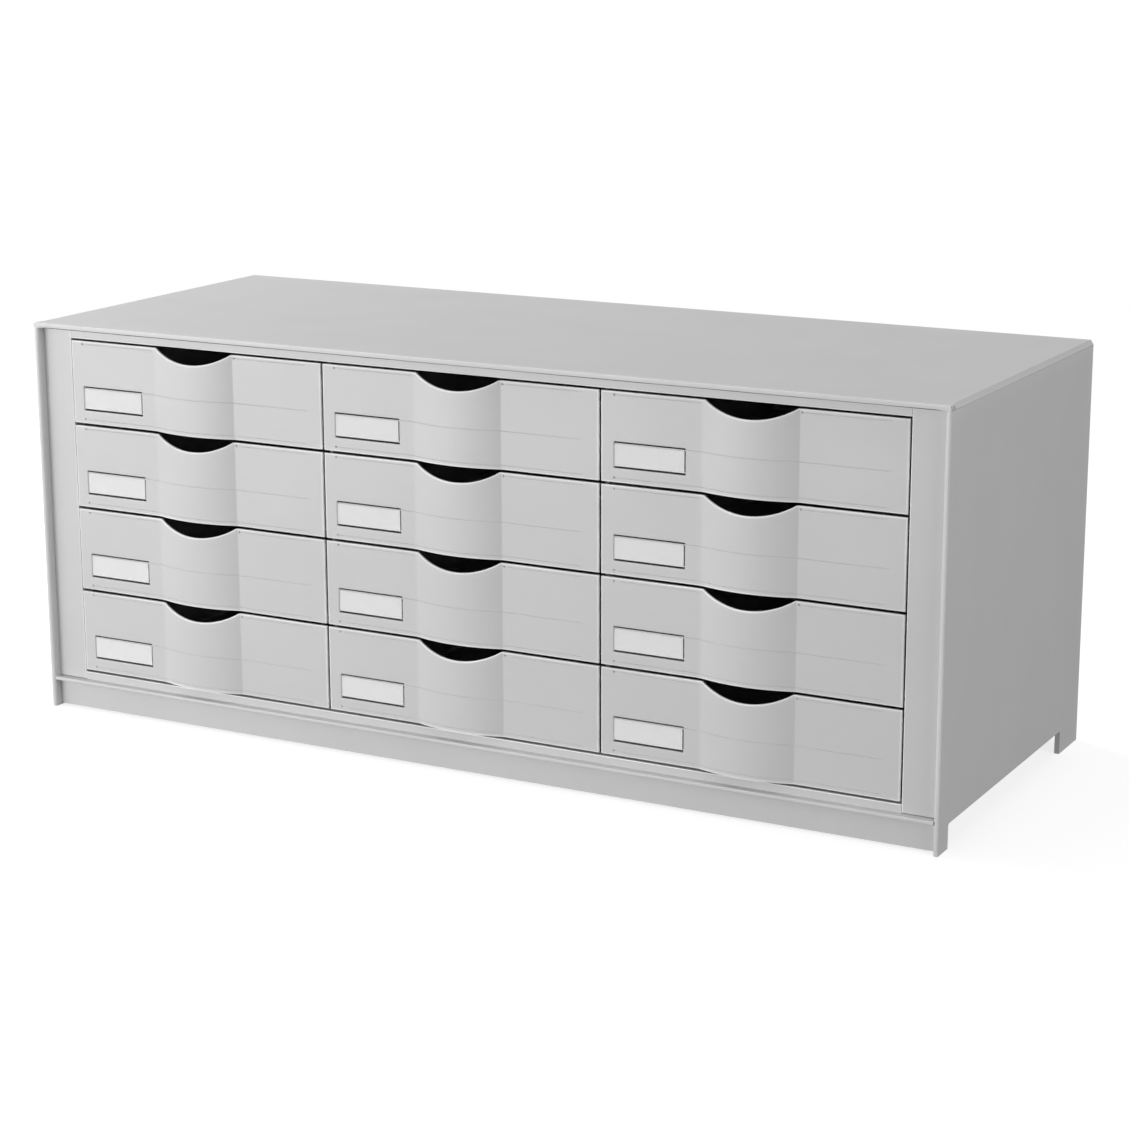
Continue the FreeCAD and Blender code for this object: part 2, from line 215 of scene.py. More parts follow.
def round_stops(edge: float, inward: float, radius: float) -> Array:
    """Grid lines that draw a quarter round next to an edge.

    They stand radius (1 - cos t) inwards for even steps of the angle t, with one more just past it.

    Args:
        edge: Where the edge is.
        inward: +1 or -1, the way into the sheet.
        radius: Radius of the round.

    Returns:
        The places of the lines.
    """
    if radius <= 0.0:
        return np.array([edge])
    turn = radius * (1.0 - np.cos(np.linspace(0.0, math.pi / 2.0, ARC_STEPS + 1)))
    return edge + inward * np.append(turn, radius + SUPPORT)


def grid_lines(low: float, high: float, step: float, stops: Sequence[Any]) -> Array:
    """Places of the grid lines across a sheet: even ones, and the stops.

    Args:
        low: First line.
        high: Last line.
        step: Largest spacing of the even lines.
        stops: Further places, alone or in arrays; those outside the sheet are dropped.

    Returns:
        Rising places. An even line too near a stop gives way to it.
    """
    even = np.linspace(low, high, max(2, math.ceil((high - low) / step) + 1))
    extra = np.concatenate([np.atleast_1d(np.asarray(stop, float)) for stop in [low, high, *stops]])
    extra = np.unique(np.round(extra[(extra >= low) & (extra <= high)], 7))
    clear = np.abs(even[:, None] - extra[None, :]).min(axis=1) > NEAR_STOP * step
    return np.sort(np.concatenate([extra, even[clear]]))


def closed_sheet(outer: Array, inner: Array, present: Array, wear_and_painted_light: tuple[Array, Array]) -> Surface:
    """Joins the two skins of a sheet into one closed surface.

    Each present cell has a quad on both skins, and each side of it that meets no present cell
    has a quad across the wall.

    Args:
        outer: Grid of points of the outer skin, rows by columns by 3.
        inner: Grid of points of the inner skin, the same size.
        present: One flag for each cell of the grid.
        wear_and_painted_light: Rubbing and painted light at each grid point of the outer and of the inner
            skin.

    Returns:
        The closed surface.
    """
    rows, columns = outer.shape[:2]
    index = np.arange(rows * columns).reshape(rows, columns)
    a, b, c, d = index[:-1, :-1], index[:-1, 1:], index[1:, 1:], index[1:, :-1]
    back = rows * columns
    quads = [np.stack([a, b, c, d], -1)[present], np.stack([d, c, b, a], -1)[present] + back]
    around = np.pad(present, 1)
    sides = (
        (present & ~around[:-2, 1:-1], a, b),
        (present & ~around[1:-1, 2:], b, c),
        (present & ~around[2:, 1:-1], c, d),
        (present & ~around[1:-1, :-2], d, a),
    )
    for bare, start, end in sides:
        quads.append(np.stack([end, start, start + back, end + back], -1)[bare])
    points = np.concatenate([outer.reshape(-1, 3), inner.reshape(-1, 3)])
    used, numbered = np.unique(np.concatenate(quads), return_inverse=True)
    both = np.concatenate([wear_and_painted_light[0].ravel(), wear_and_painted_light[1].ravel()])
    return Surface(points[used], numbered.reshape(-1, 4).tolist(), both[used])


def cell_middles(grid: Array) -> Array:
    """Middle of each cell of a grid of one coordinate."""
    return 0.25 * (grid[:-1, :-1] + grid[1:, :-1] + grid[:-1, 1:] + grid[1:, 1:])


def rounded_chain(
    corners: Sequence[tuple[float, float]], radii: Sequence[float], closed: bool = True
) -> tuple[Array, Array]:
    """Outline through corners, each rounded by an arc that touches both of its sides.

    The arc's centre is on the line that halves the corner, radius / sin(half the corner) away. A
    point is added just outside each arc, so that flat faces beside it stay evenly shaded.

    Args:
        corners: Corners in order.
        radii: Radius at each corner, 0 for a square one.
        closed: Whether the last corner runs on to the first.

    Returns:
        The points of the outline, and the rubbing and painted highlight at each: 1 along an arc.
    """
    corner_points = np.asarray(corners, float)
    count = len(corner_points)
    points, wear_and_painted_light = [], []
    for i, radius in enumerate(radii):
        corner = corner_points[i]
        end = not closed and i in (0, count - 1)
        if end or radius <= 0.0:
            points.append(corner[None])
            wear_and_painted_light.append(np.zeros(1))
            continue
        to_last = corner_points[i - 1] - corner
        to_next = corner_points[(i + 1) % count] - corner
        to_last /= np.linalg.norm(to_last)
        to_next /= np.linalg.norm(to_next)
        half = 0.5 * math.acos(float(np.clip(to_last @ to_next, -1.0, 1.0)))
        tangent = radius / math.tan(half)
        middle = to_last + to_next
        centre = corner + middle / np.linalg.norm(middle) * radius / math.sin(half)
        start = corner + to_last * tangent - centre
        stop = corner + to_next * tangent - centre
        sweep = math.pi - 2.0 * half
        s = np.linspace(0.0, 1.0, ARC_STEPS + 1)[:, None]
        arc = centre + (np.sin((1.0 - s) * sweep) * start + np.sin(s * sweep) * stop) / math.sin(sweep)
        before = corner + to_last * (tangent + SUPPORT)
        after = corner + to_next * (tangent + SUPPORT)
        points.append(np.vstack([before, arc, after]))
        wear_and_painted_light.append(np.concatenate([[0.0], np.ones(ARC_STEPS + 1), [0.0]]))
    return np.concatenate(points), np.concatenate(wear_and_painted_light)


def carried_bar(outline: Array, wear_and_painted_light: Array, stations: Array, place: Place) -> Surface:
    """Solid bar: a closed outline carried along a straight axis, with a flat face at each end.

    Args:
        outline: Points of the outline, two columns.
        wear_and_painted_light: Rubbing and painted highlight at each of them.
        stations: Places along the axis, from one end to the other.
        place: Turns the outline's two columns and the station into points of the frame.

    Returns:
        The closed surface.
    """
    count = len(outline)
    along = np.repeat(stations, count)
    first = np.tile(outline[:, 0], len(stations))
    second = np.tile(outline[:, 1], len(stations))
    points = place(first, second, along)
    ring = np.arange(count)
    start = (np.arange(len(stations) - 1) * count)[:, None]
    a, b = start + ring, start + np.roll(ring, -1)
    quads = np.stack([a, b, b + count, a + count], -1).reshape(-1, 4)
    caps = [ring[::-1].tolist(), (ring + (len(stations) - 1) * count).tolist()]
    return Surface(points, quads.tolist() + caps, np.tile(wear_and_painted_light, len(stations)))


@dataclass(frozen=True)
class EdgeRound:
    """Rounds of one edge of a sheet.

    Attributes:
        outer: Radius on its outer skin.
        inner: Radius on its inner skin.
    """

    outer: float = 0.0
    inner: float = 0.0


@dataclass(frozen=True)
class Plate:
    """Flat moulded sheet over a rectangle of its own plan u, v, with rounded edges.

    Attributes:
        u_range: First and last u.
        v_range: First and last v.
        thickness: Thickness of the sheet.
        u_low: Round of the edge at the first u.
        u_high: Round of the edge at the last u.
        v_low: Round of the edge at the first v.
        v_high: Round of the edge at the last v.
        step: Largest spacing of its grid lines.
        wear_and_highlight_reach: Width of the strip along its rounded edges that gets rubbing and a painted
            highlight.
        wear_and_highlight_amount: How much rubbing and painted highlight it gets there.
    """

    u_range: Span
    v_range: Span
    thickness: float
    u_low: EdgeRound = EdgeRound()
    u_high: EdgeRound = EdgeRound()
    v_low: EdgeRound = EdgeRound()
    v_high: EdgeRound = EdgeRound()
    step: float = 12.0 * MM
    wear_and_highlight_reach: float = 2.5 * MM
    wear_and_highlight_amount: float = 0.1

    def edges(self, u: Array, v: Array) -> list[tuple[Array, Radius, Radius]]:
        """Distance of each point to each edge, with the edge's outer and inner radius there.

        Args:
            u: First plan coordinate.
            v: Second plan coordinate.

        Returns:
            Those three for the first u, the last u, the first v and the last v.
        """
        return [
            (u - self.u_range[0], self.u_low.outer, self.u_low.inner),
            (self.u_range[1] - u, self.u_high.outer, self.u_high.inner),
            (v - self.v_range[0], self.v_low.outer, self.v_low.inner),
            (self.v_range[1] - v, self.v_high.outer, self.v_high.inner),
        ]

    def drop(self, u: Array, v: Array, skin: Skin) -> Array:
        """Fall of one skin: the root of the summed squares of the four edges' falls.

        Args:
            u: First plan coordinate.
            v: Second plan coordinate.
            skin: Which skin is asked for.

        Returns:
            The fall at each point, never more than the largest radius there.
        """
        total = np.zeros_like(u)
        largest = np.zeros_like(u)
        for distance, *radii in self.edges(u, v):
            radius = radii[skin.value]
            total = total + round_drop(distance, radius) ** 2
            largest = np.maximum(largest, radius)
        return np.minimum(np.sqrt(total), largest)

    def wear_and_painted_light(self, u: Array, v: Array, skin: Skin) -> Array:
        """Rubbing and painted highlight of one skin: full on a rounded edge, falling to 0 over the reach.

        Args:
            u: First plan coordinate.
            v: Second plan coordinate.
            skin: Which skin is asked for; not used here, as both skins get the same.

        Returns:
            The rubbing and painted highlight at each point.
        """
        near = np.zeros_like(u)
        for distance, outer, inner in self.edges(u, v):
            rounded = np.maximum(outer, inner) > 0.0
            near = np.maximum(near, rounded * (1.0 - smooth_step(distance, 0.0, self.wear_and_highlight_reach)))
        return self.wear_and_highlight_amount * near

    def lines(self, span: Span, low: EdgeRound, high: EdgeRound, stops: Sequence[Any]) -> Array:
        """Grid lines across one way of the sheet, with those that draw its two rounds.

        Args:
            span: First and last line.
            low: Round of the edge at the first.
            high: Round of the edge at the last.
            stops: Further lines.

        Returns:
            Their places.
        """
        rounds = [round_stops(span[0], 1.0, radius) for radius in (low.outer, low.inner)]
        rounds += [round_stops(span[1], -1.0, radius) for radius in (high.outer, high.inner)]
        return grid_lines(span[0], span[1], self.step, [*rounds, *stops])

    def surface(
        self,
        place: Place,
        u_stops: Sequence[Any] = (),
        v_stops: Sequence[Any] = (),
        hole: Test | None = None,
        bend: Callable[[Array, Array], tuple[Array, Array]] | None = None,
    ) -> Surface:
        """Builds the sheet.

        Args:
            place: Turns u, v and depth below the outer skin into points of the frame.
            u_stops: Further grid lines across u.
            v_stops: Further grid lines across v.
            hole: Says which cells, by their middles, are left out.
            bend: Moves grid points in the plan, for rounded corners.

        Returns:
            The closed surface.
        """
        u_lines = self.lines(self.u_range, self.u_low, self.u_high, u_stops)
        v_lines = self.lines(self.v_range, self.v_low, self.v_high, v_stops)
        u, v = np.meshgrid(u_lines, v_lines, indexing="ij")
        present = np.ones((len(u_lines) - 1, len(v_lines) - 1), bool)
        if hole is not None:
            present = ~hole(cell_middles(u), cell_middles(v))
        if bend is not None:
            u, v = bend(u, v)
        outer = place(u, v, self.drop(u, v, Skin.OUTER))
        inner = place(u, v, self.thickness - self.drop(u, v, Skin.INNER))
        wear_and_painted_light = (self.wear_and_painted_light(u, v, Skin.OUTER), self.wear_and_painted_light(u, v, Skin.INNER))
        return closed_sheet(outer, inner, present, wear_and_painted_light)


def all_edges(edge: EdgeRound) -> dict[str, EdgeRound]:
    """The same round for the four edges of a plate, as its keyword arguments."""
    return dict.fromkeys(("u_low", "u_high", "v_low", "v_high"), edge)


@dataclass(frozen=True)
class TopPlate(Plate):
    """Plate of the top sheet, whose side facets shrink towards its front corners.

    Attributes:
        corner: Height of the side facets at the front.
        taper: Distances behind the front between which they grow to their full height.
        taper_lines: How many grid lines draw that.
        lean: Width of a facet over its height.
        soft: Softness of a facet's upper end.
        soft_lines: First and last grid line there, in soft ends from its middle, and how many.
        flush: Distance from the middle past which the lip is square below, to meet the sides.
        painted_shade: Depth of the painted shade under the lip, as a value below 0.
        lip_shade: Where that painted shade is full and where it ends, in radii of the lip.
        joint_shade: Share of it that is painted along the joints with the sides.
        joint_reach: Width of that, in radii of the joint.
        pits: Places along the right-hand edge of two small pits at the front corner, painted shade only.
        pit_radius: Their radius.
        pit_lines: How many grid lines draw a pit.
        pit_core: Share of its radius that is painted dark all over.
        pit_shade: Depth of the painted shade in them, as a value below 0.
    """

    corner: float = 0.9 * MM
    taper: Span = (4.0 * MM, 15.0 * MM)
    taper_lines: int = 7
    lean: float = 0.62
    soft: float = 0.45 * MM
    soft_lines: tuple[float, float, int] = (-1.0, 1.3, 5)
    flush: float = 425.5 * MM
    painted_shade: float = -1.2
    lip_shade: Span = (0.05, 1.4)
    joint_shade: float = 0.3
    joint_reach: float = 2.0
    pits: tuple[float, ...] = (-168.6 * MM, -163.4 * MM)
    pit_radius: float = 0.7 * MM
    pit_lines: int = 7
    pit_core: float = 0.3
    pit_shade: float = -1.8

    def u_stops(self) -> list[Array]:
        """Grid lines across that draw the side facets, their soft ends and the end of the lip.

        Returns:
            Their places, in groups.
        """
        low, high = self.u_range
        corner = round_stops(0.0, 1.0, self.corner)
        flush = np.array([self.flush, self.flush + NARROW])
        ends = self.lean * (self.u_low.outer + self.soft * np.linspace(*self.soft_lines))
        return [low + corner, high - corner, -flush, flush, low + ends, high - ends]

    def v_stops(self) -> list[Array]:
        """Grid lines from front to back that draw the taper of the facets, and the pits.

        Returns:
            Their places, in groups.
        """
        taper = self.v_range[0] + np.linspace(*self.taper, self.taper_lines)
        across = self.pit_radius * np.linspace(-1.0, 1.0, self.pit_lines)
        return [taper, *(place + across for place in self.pits)]

    def facet(self, distance: Array, height: Array) -> Array:
        """Fall of a flat facet: its height less distance / lean, with a parabola at the upper end.

        Args:
            distance: Distance into the sheet from the side edge.
            height: Height of the facet.

        Returns:
            The fall.
        """
        fall = height - distance / self.lean
        soft = np.minimum(self.soft, 0.5 * height)
        return np.where(fall > soft, fall, np.clip(fall + soft, 0.0, None) ** 2 / (4.0 * soft))

    def drop(self, u: Array, v: Array, skin: Skin) -> Array:
        """As in any plate, but outside the side edges fall as facets.

        Args:
            u: First plan coordinate.
            v: Second plan coordinate.
            skin: Which skin is asked for.

        Returns:
            The fall at each point.
        """
        if skin is Skin.INNER:
            return super().drop(u, v, skin)
        left, right, front, back = self.edges(u, v)
        side = self.facet(np.minimum(left[0], right[0]), left[1])
        ends = round_drop(front[0], front[1]) ** 2 + round_drop(back[0], back[1]) ** 2
        return np.minimum(np.sqrt(side**2 + ends), np.maximum(left[1], front[1]))

    def edges(self, u: Array, v: Array) -> list[tuple[Array, Radius, Radius]]:
        """As in any plate, but the side facets grow by a smooth step of the distance back.

        Args:
            u: First plan coordinate.
            v: Second plan coordinate.

        Returns:
            Distance of each point to each edge, with the edge's outer and inner radius there.
        """
        left, right, front, back = super().edges(u, v)
        grown = smooth_step(front[0], *self.taper)
        radius = self.corner + (self.u_low.outer - self.corner) * grown
        under = np.where(np.abs(u) < self.flush, self.v_low.inner, 0.0)
        return [(left[0], radius, left[2]), (right[0], radius, right[2]), (front[0], front[1], under), back]

    def wear_and_painted_light(self, u: Array, v: Array, skin: Skin) -> Array:
        """Rubbing and painted light of one skin; painted shade lies in the pits and, below, along the
        lip and along the joints with the sides.

        Args:
            u: First plan coordinate.
            v: Second plan coordinate.
            skin: Which skin is asked for.

        Returns:
            The rubbing and painted light at each point.
        """
        if skin is Skin.OUTER:
            # Painted shade only: the pits have no hollow of their own.
            pitted = np.zeros_like(u)
            for place in self.pits:
                far = np.hypot(self.u_range[1] - u, v - place) / self.pit_radius
                pitted = np.maximum(pitted, 1.0 - smooth_step(far, self.pit_core, 1.0))
            return super().wear_and_painted_light(u, v, skin) + self.pit_shade * pitted
        left, right, front, _ = self.edges(u, v)
        lip = self.v_low.inner
        full, end = self.lip_shade
        under_lip = smooth_step(front[0], 0.0, full * lip) * (1.0 - smooth_step(front[0], lip, end * lip))
        inwards = np.minimum(left[0], right[0])
        joint = 1.0 - smooth_step(inwards, 0.0, self.joint_reach * self.u_low.inner)
        # Painted shade under the lip and along the joints with the sides.
        return self.painted_shade * np.maximum(under_lip * (np.abs(u) < self.flush), self.joint_shade * joint)


@dataclass(frozen=True)
class SidePlate(Plate):
    """Plate of a side sheet, whose front lip is rounder towards the top.

    Attributes:
        upper_lip: Outer radius of the lip at the top.
        rise_from: Share of the height from which it grows to that.
        painted_shade: Depth of the painted shade along the joint with the top, as a value below 0.
        shade_reach: Width of that painted shade, in radii of the joint.
    """

    upper_lip: float = 1.3 * MM
    rise_from: float = 0.3
    painted_shade: float = -0.35
    shade_reach: float = 1.3

    def edges(self, u: Array, v: Array) -> list[tuple[Array, Radius, Radius]]:
        """As in any plate, but the lip's outer radius grows by a smooth step of the height.

        Args:
            u: First plan coordinate.
            v: Second plan coordinate.

        Returns:
            Distance of each point to each edge, with the edge's outer and inner radius there.
        """
        front, *others = super().edges(u, v)
        rise = smooth_step(v, self.rise_from * self.v_range[1], self.v_range[1])
        radius = front[1] + (self.upper_lip - front[1]) * rise
        return [(front[0], radius, front[2]), *others]

    def wear_and_painted_light(self, u: Array, v: Array, skin: Skin) -> Array:
        """Rubbing and painted light of one skin; painted shade lies along its upper edge, outside.

        Args:
            u: First plan coordinate.
            v: Second plan coordinate.
            skin: Which skin is asked for.

        Returns:
            The rubbing and painted light at each point.
        """
        rub_and_highlight = super().wear_and_painted_light(u, v, skin)
        if skin is Skin.INNER:
            return rub_and_highlight
        radius = self.v_high.outer
        joint = 1.0 - smooth_step(self.v_range[1] - v, radius, self.shade_reach * radius)
        # Painted shade along the joint with the top.
        return rub_and_highlight + self.painted_shade * joint


def make_piece(name: str, surface: Surface) -> Object:
    """Makes a mesh object from a surface, smooth but for its sharp edges.

    Args:
        name: Name of the piece.
        surface: Its surface, in the frame's axes.

    Returns:
        The new object, at the origin.
    """
    surface = surface.outward()
    mesh = bpy.data.meshes.new(name)
    mesh.from_pydata(surface.points.tolist(), [], surface.faces)
    attribute = mesh.attributes.new(WEAR_AND_PAINTED_LIGHT, "FLOAT", "POINT")
    attribute.data.foreach_set("value", surface.wear_and_painted_light.astype(np.float32))
    mesh.polygons.foreach_set("use_smooth", np.ones(len(mesh.polygons), bool))
    mesh.set_sharp_from_angle(angle=SHARP_ANGLE)
    mesh.update()
    piece = bpy.data.objects.new(name, mesh)
    bpy.context.scene.collection.objects.link(piece)
    return piece


def fit_piece(name: str, surface: Surface, finish: Material, slot: str, node: str, body: str) -> Object:
    """Makes a piece, dresses it and puts it in the place of a frame node.

    Args:
        name: Name of the piece.
        surface: Its surface.
        finish: Its material.
        slot: The record's slot that the finish belongs to; not used.
        node: The node it stands for.
        body: The body it rides on.

    Returns:
        The new object.
    """
    piece = make_piece(name, surface)
    piece.data.materials.append(finish)
    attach(piece, body)
    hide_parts(node)
    LOG.info("%s: %d points, %d faces, on %s", name, len(surface.points), len(surface.faces), body)
    return piece


def node_box(node: str) -> tuple[Array, Array]:
    """Lowest and highest corner of a frame node."""
    low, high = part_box(node)
    return np.array(low), np.array(high)


# ---------------------------------------------------------------------------------------------
# Finishes
# ---------------------------------------------------------------------------------------------


def linear(hex_colour: str) -> tuple[float, float, float, float]:
    """Turns an sRGB hex colour into linear red, green, blue and an alpha of 1.

    Each channel is the sRGB standard's own curve: value / 12.92 up to 0.04045, and past that
    ((value + 0.055) / 1.055) to the power 2.4.

    Args:
        hex_colour: Colour as #RRGGBB.

    Returns:
        The linear colour.
    """
    channels = []
    for start in (1, 3, 5):
        value = int(hex_colour[start : start + 2], 16) / 255.0
        channels.append(value / 12.92 if value <= 0.04045 else ((value + 0.055) / 1.055) ** 2.4)
    return (channels[0], channels[1], channels[2], 1.0)


def add_node(tree: NodeTree, kind: str, inputs: dict[Any, Any] | None = None, **settings: Any) -> Node:
    """Adds one node with its settings and links.

    Args:
        tree: Node tree of the material.
        kind: Type name of the node.
        inputs: For each input, by name or number, a value or what feeds it: an output, or a node
            for that node's first output.
        settings: Attributes of the node.

    Returns:
        The new node.
    """
    node = tree.nodes.new(kind)
    for name, value in settings.items():
        setattr(node, name, value)
    for name, value in (inputs or {}).items():
        if isinstance(value, Node):
            value = value.outputs[0]
        if isinstance(value, NodeSocket):
            tree.links.new(value, node.inputs[name])
        else:
            node.inputs[name].default_value = value
    return node


def new_material(name: str) -> tuple[Material, NodeTree]:
    """Makes an empty node material.

    Args:
        name: Its name.

    Returns:
        The material and its node tree.
    """
    material = bpy.data.materials.new(name)
    material.use_nodes = True
    material.node_tree.nodes.clear()
    return material, material.node_tree


@dataclass(frozen=True)
class MouldedPolystyrene:
    """Impact polystyrene, injection moulded against a finely spark-eroded tool.

    It gives the eye a satin light grey with a soft broad highlight, a grain that only shows close
    to, faint clouds where the melt flowed, a few scuffs and smoother edges. Rounded edges are
    painted lighter as a painted highlight, and painted shade goes where the mesh asks for it.

    Attributes:
        name: Name of the material.
        colour: sRGB colour of the plastic.
        roughness: Roughness of the clean satin face.
        gloss: How high the highlight is, on the shader's own scale.
        grain: Width of the tool's grain. The real one is near 0.1 mm; it is drawn coarser to show.
        grain_depth: Height of that grain.
        grain_shade: How far the grain changes the brightness, either way.
        grain_rough: How far it changes the roughness, either way.
        cloud: Width of the flow clouds.
        cloud_shade: How far the clouds change the brightness, either way.
        ripple: Width of the slow unevenness of the sheet, which bends its reflections.
        ripple_depth: Height of that unevenness.
        painted_light_gain: Strength of the painted highlight on edges where the clouds are thickest.
        edge_polish: How much smoother it is there.
        scuff: Spacing of the scuffs.
        scuff_shade: How much darker a scuff is.
        scuff_turn: Lean of the scuffs' streaks, in radians about each axis.
        scuff_stretch: How often a streak's width goes into its length.
        scuff_streaks: How many streaks would stand side by side in the space of one scuff.
        scuff_rarity: Values of the streaks' noise between which a scuff comes up.
        scuff_patch: Distances from a cell's middle, in cells, between which scuffs die out.
    """

    name: str
    colour: str
    roughness: float = 0.46
    gloss: float = 0.45
    grain: float = 0.45 * MM
    grain_depth: float = 0.012 * MM
    grain_shade: float = 0.015
    grain_rough: float = 0.04
    cloud: float = 70.0 * MM
    cloud_shade: float = 0.018
    ripple: float = 95.0 * MM
    ripple_depth: float = 0.05 * MM
    painted_light_gain: float = 1.0
    edge_polish: float = 0.12
    scuff: float = 26.0 * MM
    scuff_shade: float = 0.1
    scuff_turn: tuple[float, float, float] = (0.4, 0.9, 0.5)
    scuff_stretch: float = 9.0
    scuff_streaks: float = 5.0
    scuff_rarity: Span = (0.66, 0.72)
    scuff_patch: Span = (0.12, 0.3)

    def material(self) -> Material:
        """Builds the material.

        Brightness is the plastic's colour times 1 plus the clouds, 1 plus the grain, 1 plus the
        painted light (a painted highlight on edges, painted shade where the attribute is below 0) and
        1 less the scuffs. Roughness follows the grain and falls on smoothed edges. Bump is the grain
        over the ripple.

        Returns:
            The material.
        """
        material, tree = new_material(self.name)
        place = add_node(tree, "ShaderNodeTexCoord").outputs["Object"]
        clouds, grain, ripple = (
            add_node(
                tree,
                "ShaderNodeTexNoise",
                {"Vector": place, "Scale": 1.0 / width, "Detail": detail, "Roughness": roughness},
            )
            for width, detail, roughness in (
                (self.cloud, 4.0, 0.55), (self.grain, 2.0, 0.6), (self.ripple, 1.0, 0.5)
            )
        )
        clouded, speckled, rough = (
            add_node(
                tree,
                "ShaderNodeMapRange",
                dict(zip(RANGE, (noise, *span, middle - change, middle + change))),
            )
            for noise, span, middle, change in (
                (clouds, NOISE_SPAN, 1.0, self.cloud_shade),
                (grain, WIDE_NOISE_SPAN, 1.0, self.grain_shade),
                (grain, NOISE_SPAN, self.roughness, self.grain_rough),
            )
        )
        wear_and_painted_light = add_node(tree, "ShaderNodeAttribute", attribute_name=WEAR_AND_PAINTED_LIGHT).outputs["Fac"]
        patchy_wear_and_painted_light = add_node(tree, "ShaderNodeMath", {0: wear_and_painted_light, 1: clouds}, operation="MULTIPLY")
        scuffs = self.add_scuffs(tree, place)
        # The first factor is painted light: a painted highlight on edges, and painted shade below 0.
        painted_light, darker, polished = (
            add_node(tree, "ShaderNodeMath", {0: amount, 1: gain, 2: base}, operation="MULTIPLY_ADD")
            for amount, gain, base in (
                (patchy_wear_and_painted_light, self.painted_light_gain, 1.0),
                (scuffs, -self.scuff_shade, 1.0),
                (patchy_wear_and_painted_light, -self.edge_polish, rough),
            )
        )
        shade = clouded
        for factor in (speckled, painted_light, darker):
            shade = add_node(tree, "ShaderNodeMath", {0: shade, 1: factor}, operation="MULTIPLY")
        colour = add_node(
            tree, "ShaderNodeVectorMath", {0: linear(self.colour)[:3], "Scale": shade}, operation="SCALE"
        )
        slow = add_node(
            tree, "ShaderNodeBump", {"Height": ripple, "Distance": self.ripple_depth, "Strength": 1.0}
        )
        fine = add_node(
            tree,
            "ShaderNodeBump",
            {"Height": grain, "Distance": self.grain_depth, "Strength": 1.0, "Normal": slow},
        )
        shader = add_node(
            tree,
            "ShaderNodeBsdfPrincipled",
            {
                "Base Color": colour,
                "Roughness": polished,
                "IOR": POLYSTYRENE_IOR,
                "Specular IOR Level": self.gloss,
                "Normal": fine,
            },
        )
        add_node(tree, "ShaderNodeOutputMaterial", {"Surface": shader})
        return material

    def add_scuffs(self, tree: NodeTree, place: NodeSocket) -> Node:
        """Sparse short drag marks: thin streaks of stretched noise, kept only inside rare cells.

        Args:
            tree: Node tree of the material.
            place: Object coordinates.

        Returns:
            A node that gives 1 in a scuff and 0 elsewhere.
        """
        stretched = add_node(
            tree,
            "ShaderNodeMapping",
            {"Vector": place, "Rotation": self.scuff_turn, "Scale": (1.0, 1.0, self.scuff_stretch)},
        )
        streaks = add_node(
            tree,
            "ShaderNodeTexNoise",
            {"Vector": stretched, "Scale": self.scuff_streaks / self.scuff, "Detail": 3.0},
        )
        cells = add_node(tree, "ShaderNodeTexVoronoi", {"Vector": place, "Scale": 1.0 / self.scuff})
        thin, near = (
            add_node(tree, "ShaderNodeMapRange", dict(zip(RANGE, values)))
            for values in ((streaks, *self.scuff_rarity, 0.0, 1.0), (cells, *self.scuff_patch, 1.0, 0.0))
        )
        return add_node(tree, "ShaderNodeMath", {0: thin, 1: near}, operation="MULTIPLY")


@dataclass(frozen=True)
class CardStock:
    """Uncoated white index card, about 200 g.

    It gives the eye a warm flat white with a faint felt of fibres.

    Attributes:
        name: Name of the material.
        colour: sRGB colour of the card.
        roughness: Its roughness.
        ior: Index of refraction of its fibres.
        fibre: Length of its fibres.
        stretch: How often a fibre's width goes into its length.
        felt: How much darker the card is between its fibres.
        felt_depth: Height of the fibres.
        felt_bump: Strength of their bump.
    """

    name: str = "uncoated_white_card"
    colour: str = "#EFEFEF"
    roughness: float = 0.85
    ior: float = 1.5
    fibre: float = 1.6 * MM
    stretch: float = 5.0
    felt: float = 0.03
    felt_depth: float = 0.02 * MM
    felt_bump: float = 0.6

    def material(self) -> Material:
        """Builds the material: colour and bump follow a noise stretched along X.

        Returns:
            The material.
        """
        material, tree = new_material(self.name)
        place = add_node(tree, "ShaderNodeTexCoord").outputs["Object"]
        along = add_node(tree, "ShaderNodeMapping", {"Vector": place, "Scale": (1.0, 1.0, self.stretch)})
        fibres = add_node(
            tree,
            "ShaderNodeTexNoise",
            {"Vector": along, "Scale": 1.0 / self.fibre, "Detail": 5.0, "Roughness": 0.7},
        )
        shade = add_node(
            tree, "ShaderNodeMapRange", dict(zip(RANGE, (fibres, *NOISE_SPAN, 1.0 - self.felt, 1.0)))
        )
        colour = add_node(
            tree, "ShaderNodeVectorMath", {0: linear(self.colour)[:3], "Scale": shade}, operation="SCALE"
        )
        bump = add_node(
            tree,
            "ShaderNodeBump",
            {"Height": fibres, "Distance": self.felt_depth, "Strength": self.felt_bump},
        )
        shader = add_node(
            tree,
            "ShaderNodeBsdfPrincipled",
            {"Base Color": colour, "Roughness": self.roughness, "IOR": self.ior, "Normal": bump},
        )
        add_node(tree, "ShaderNodeOutputMaterial", {"Surface": shader})
        return material


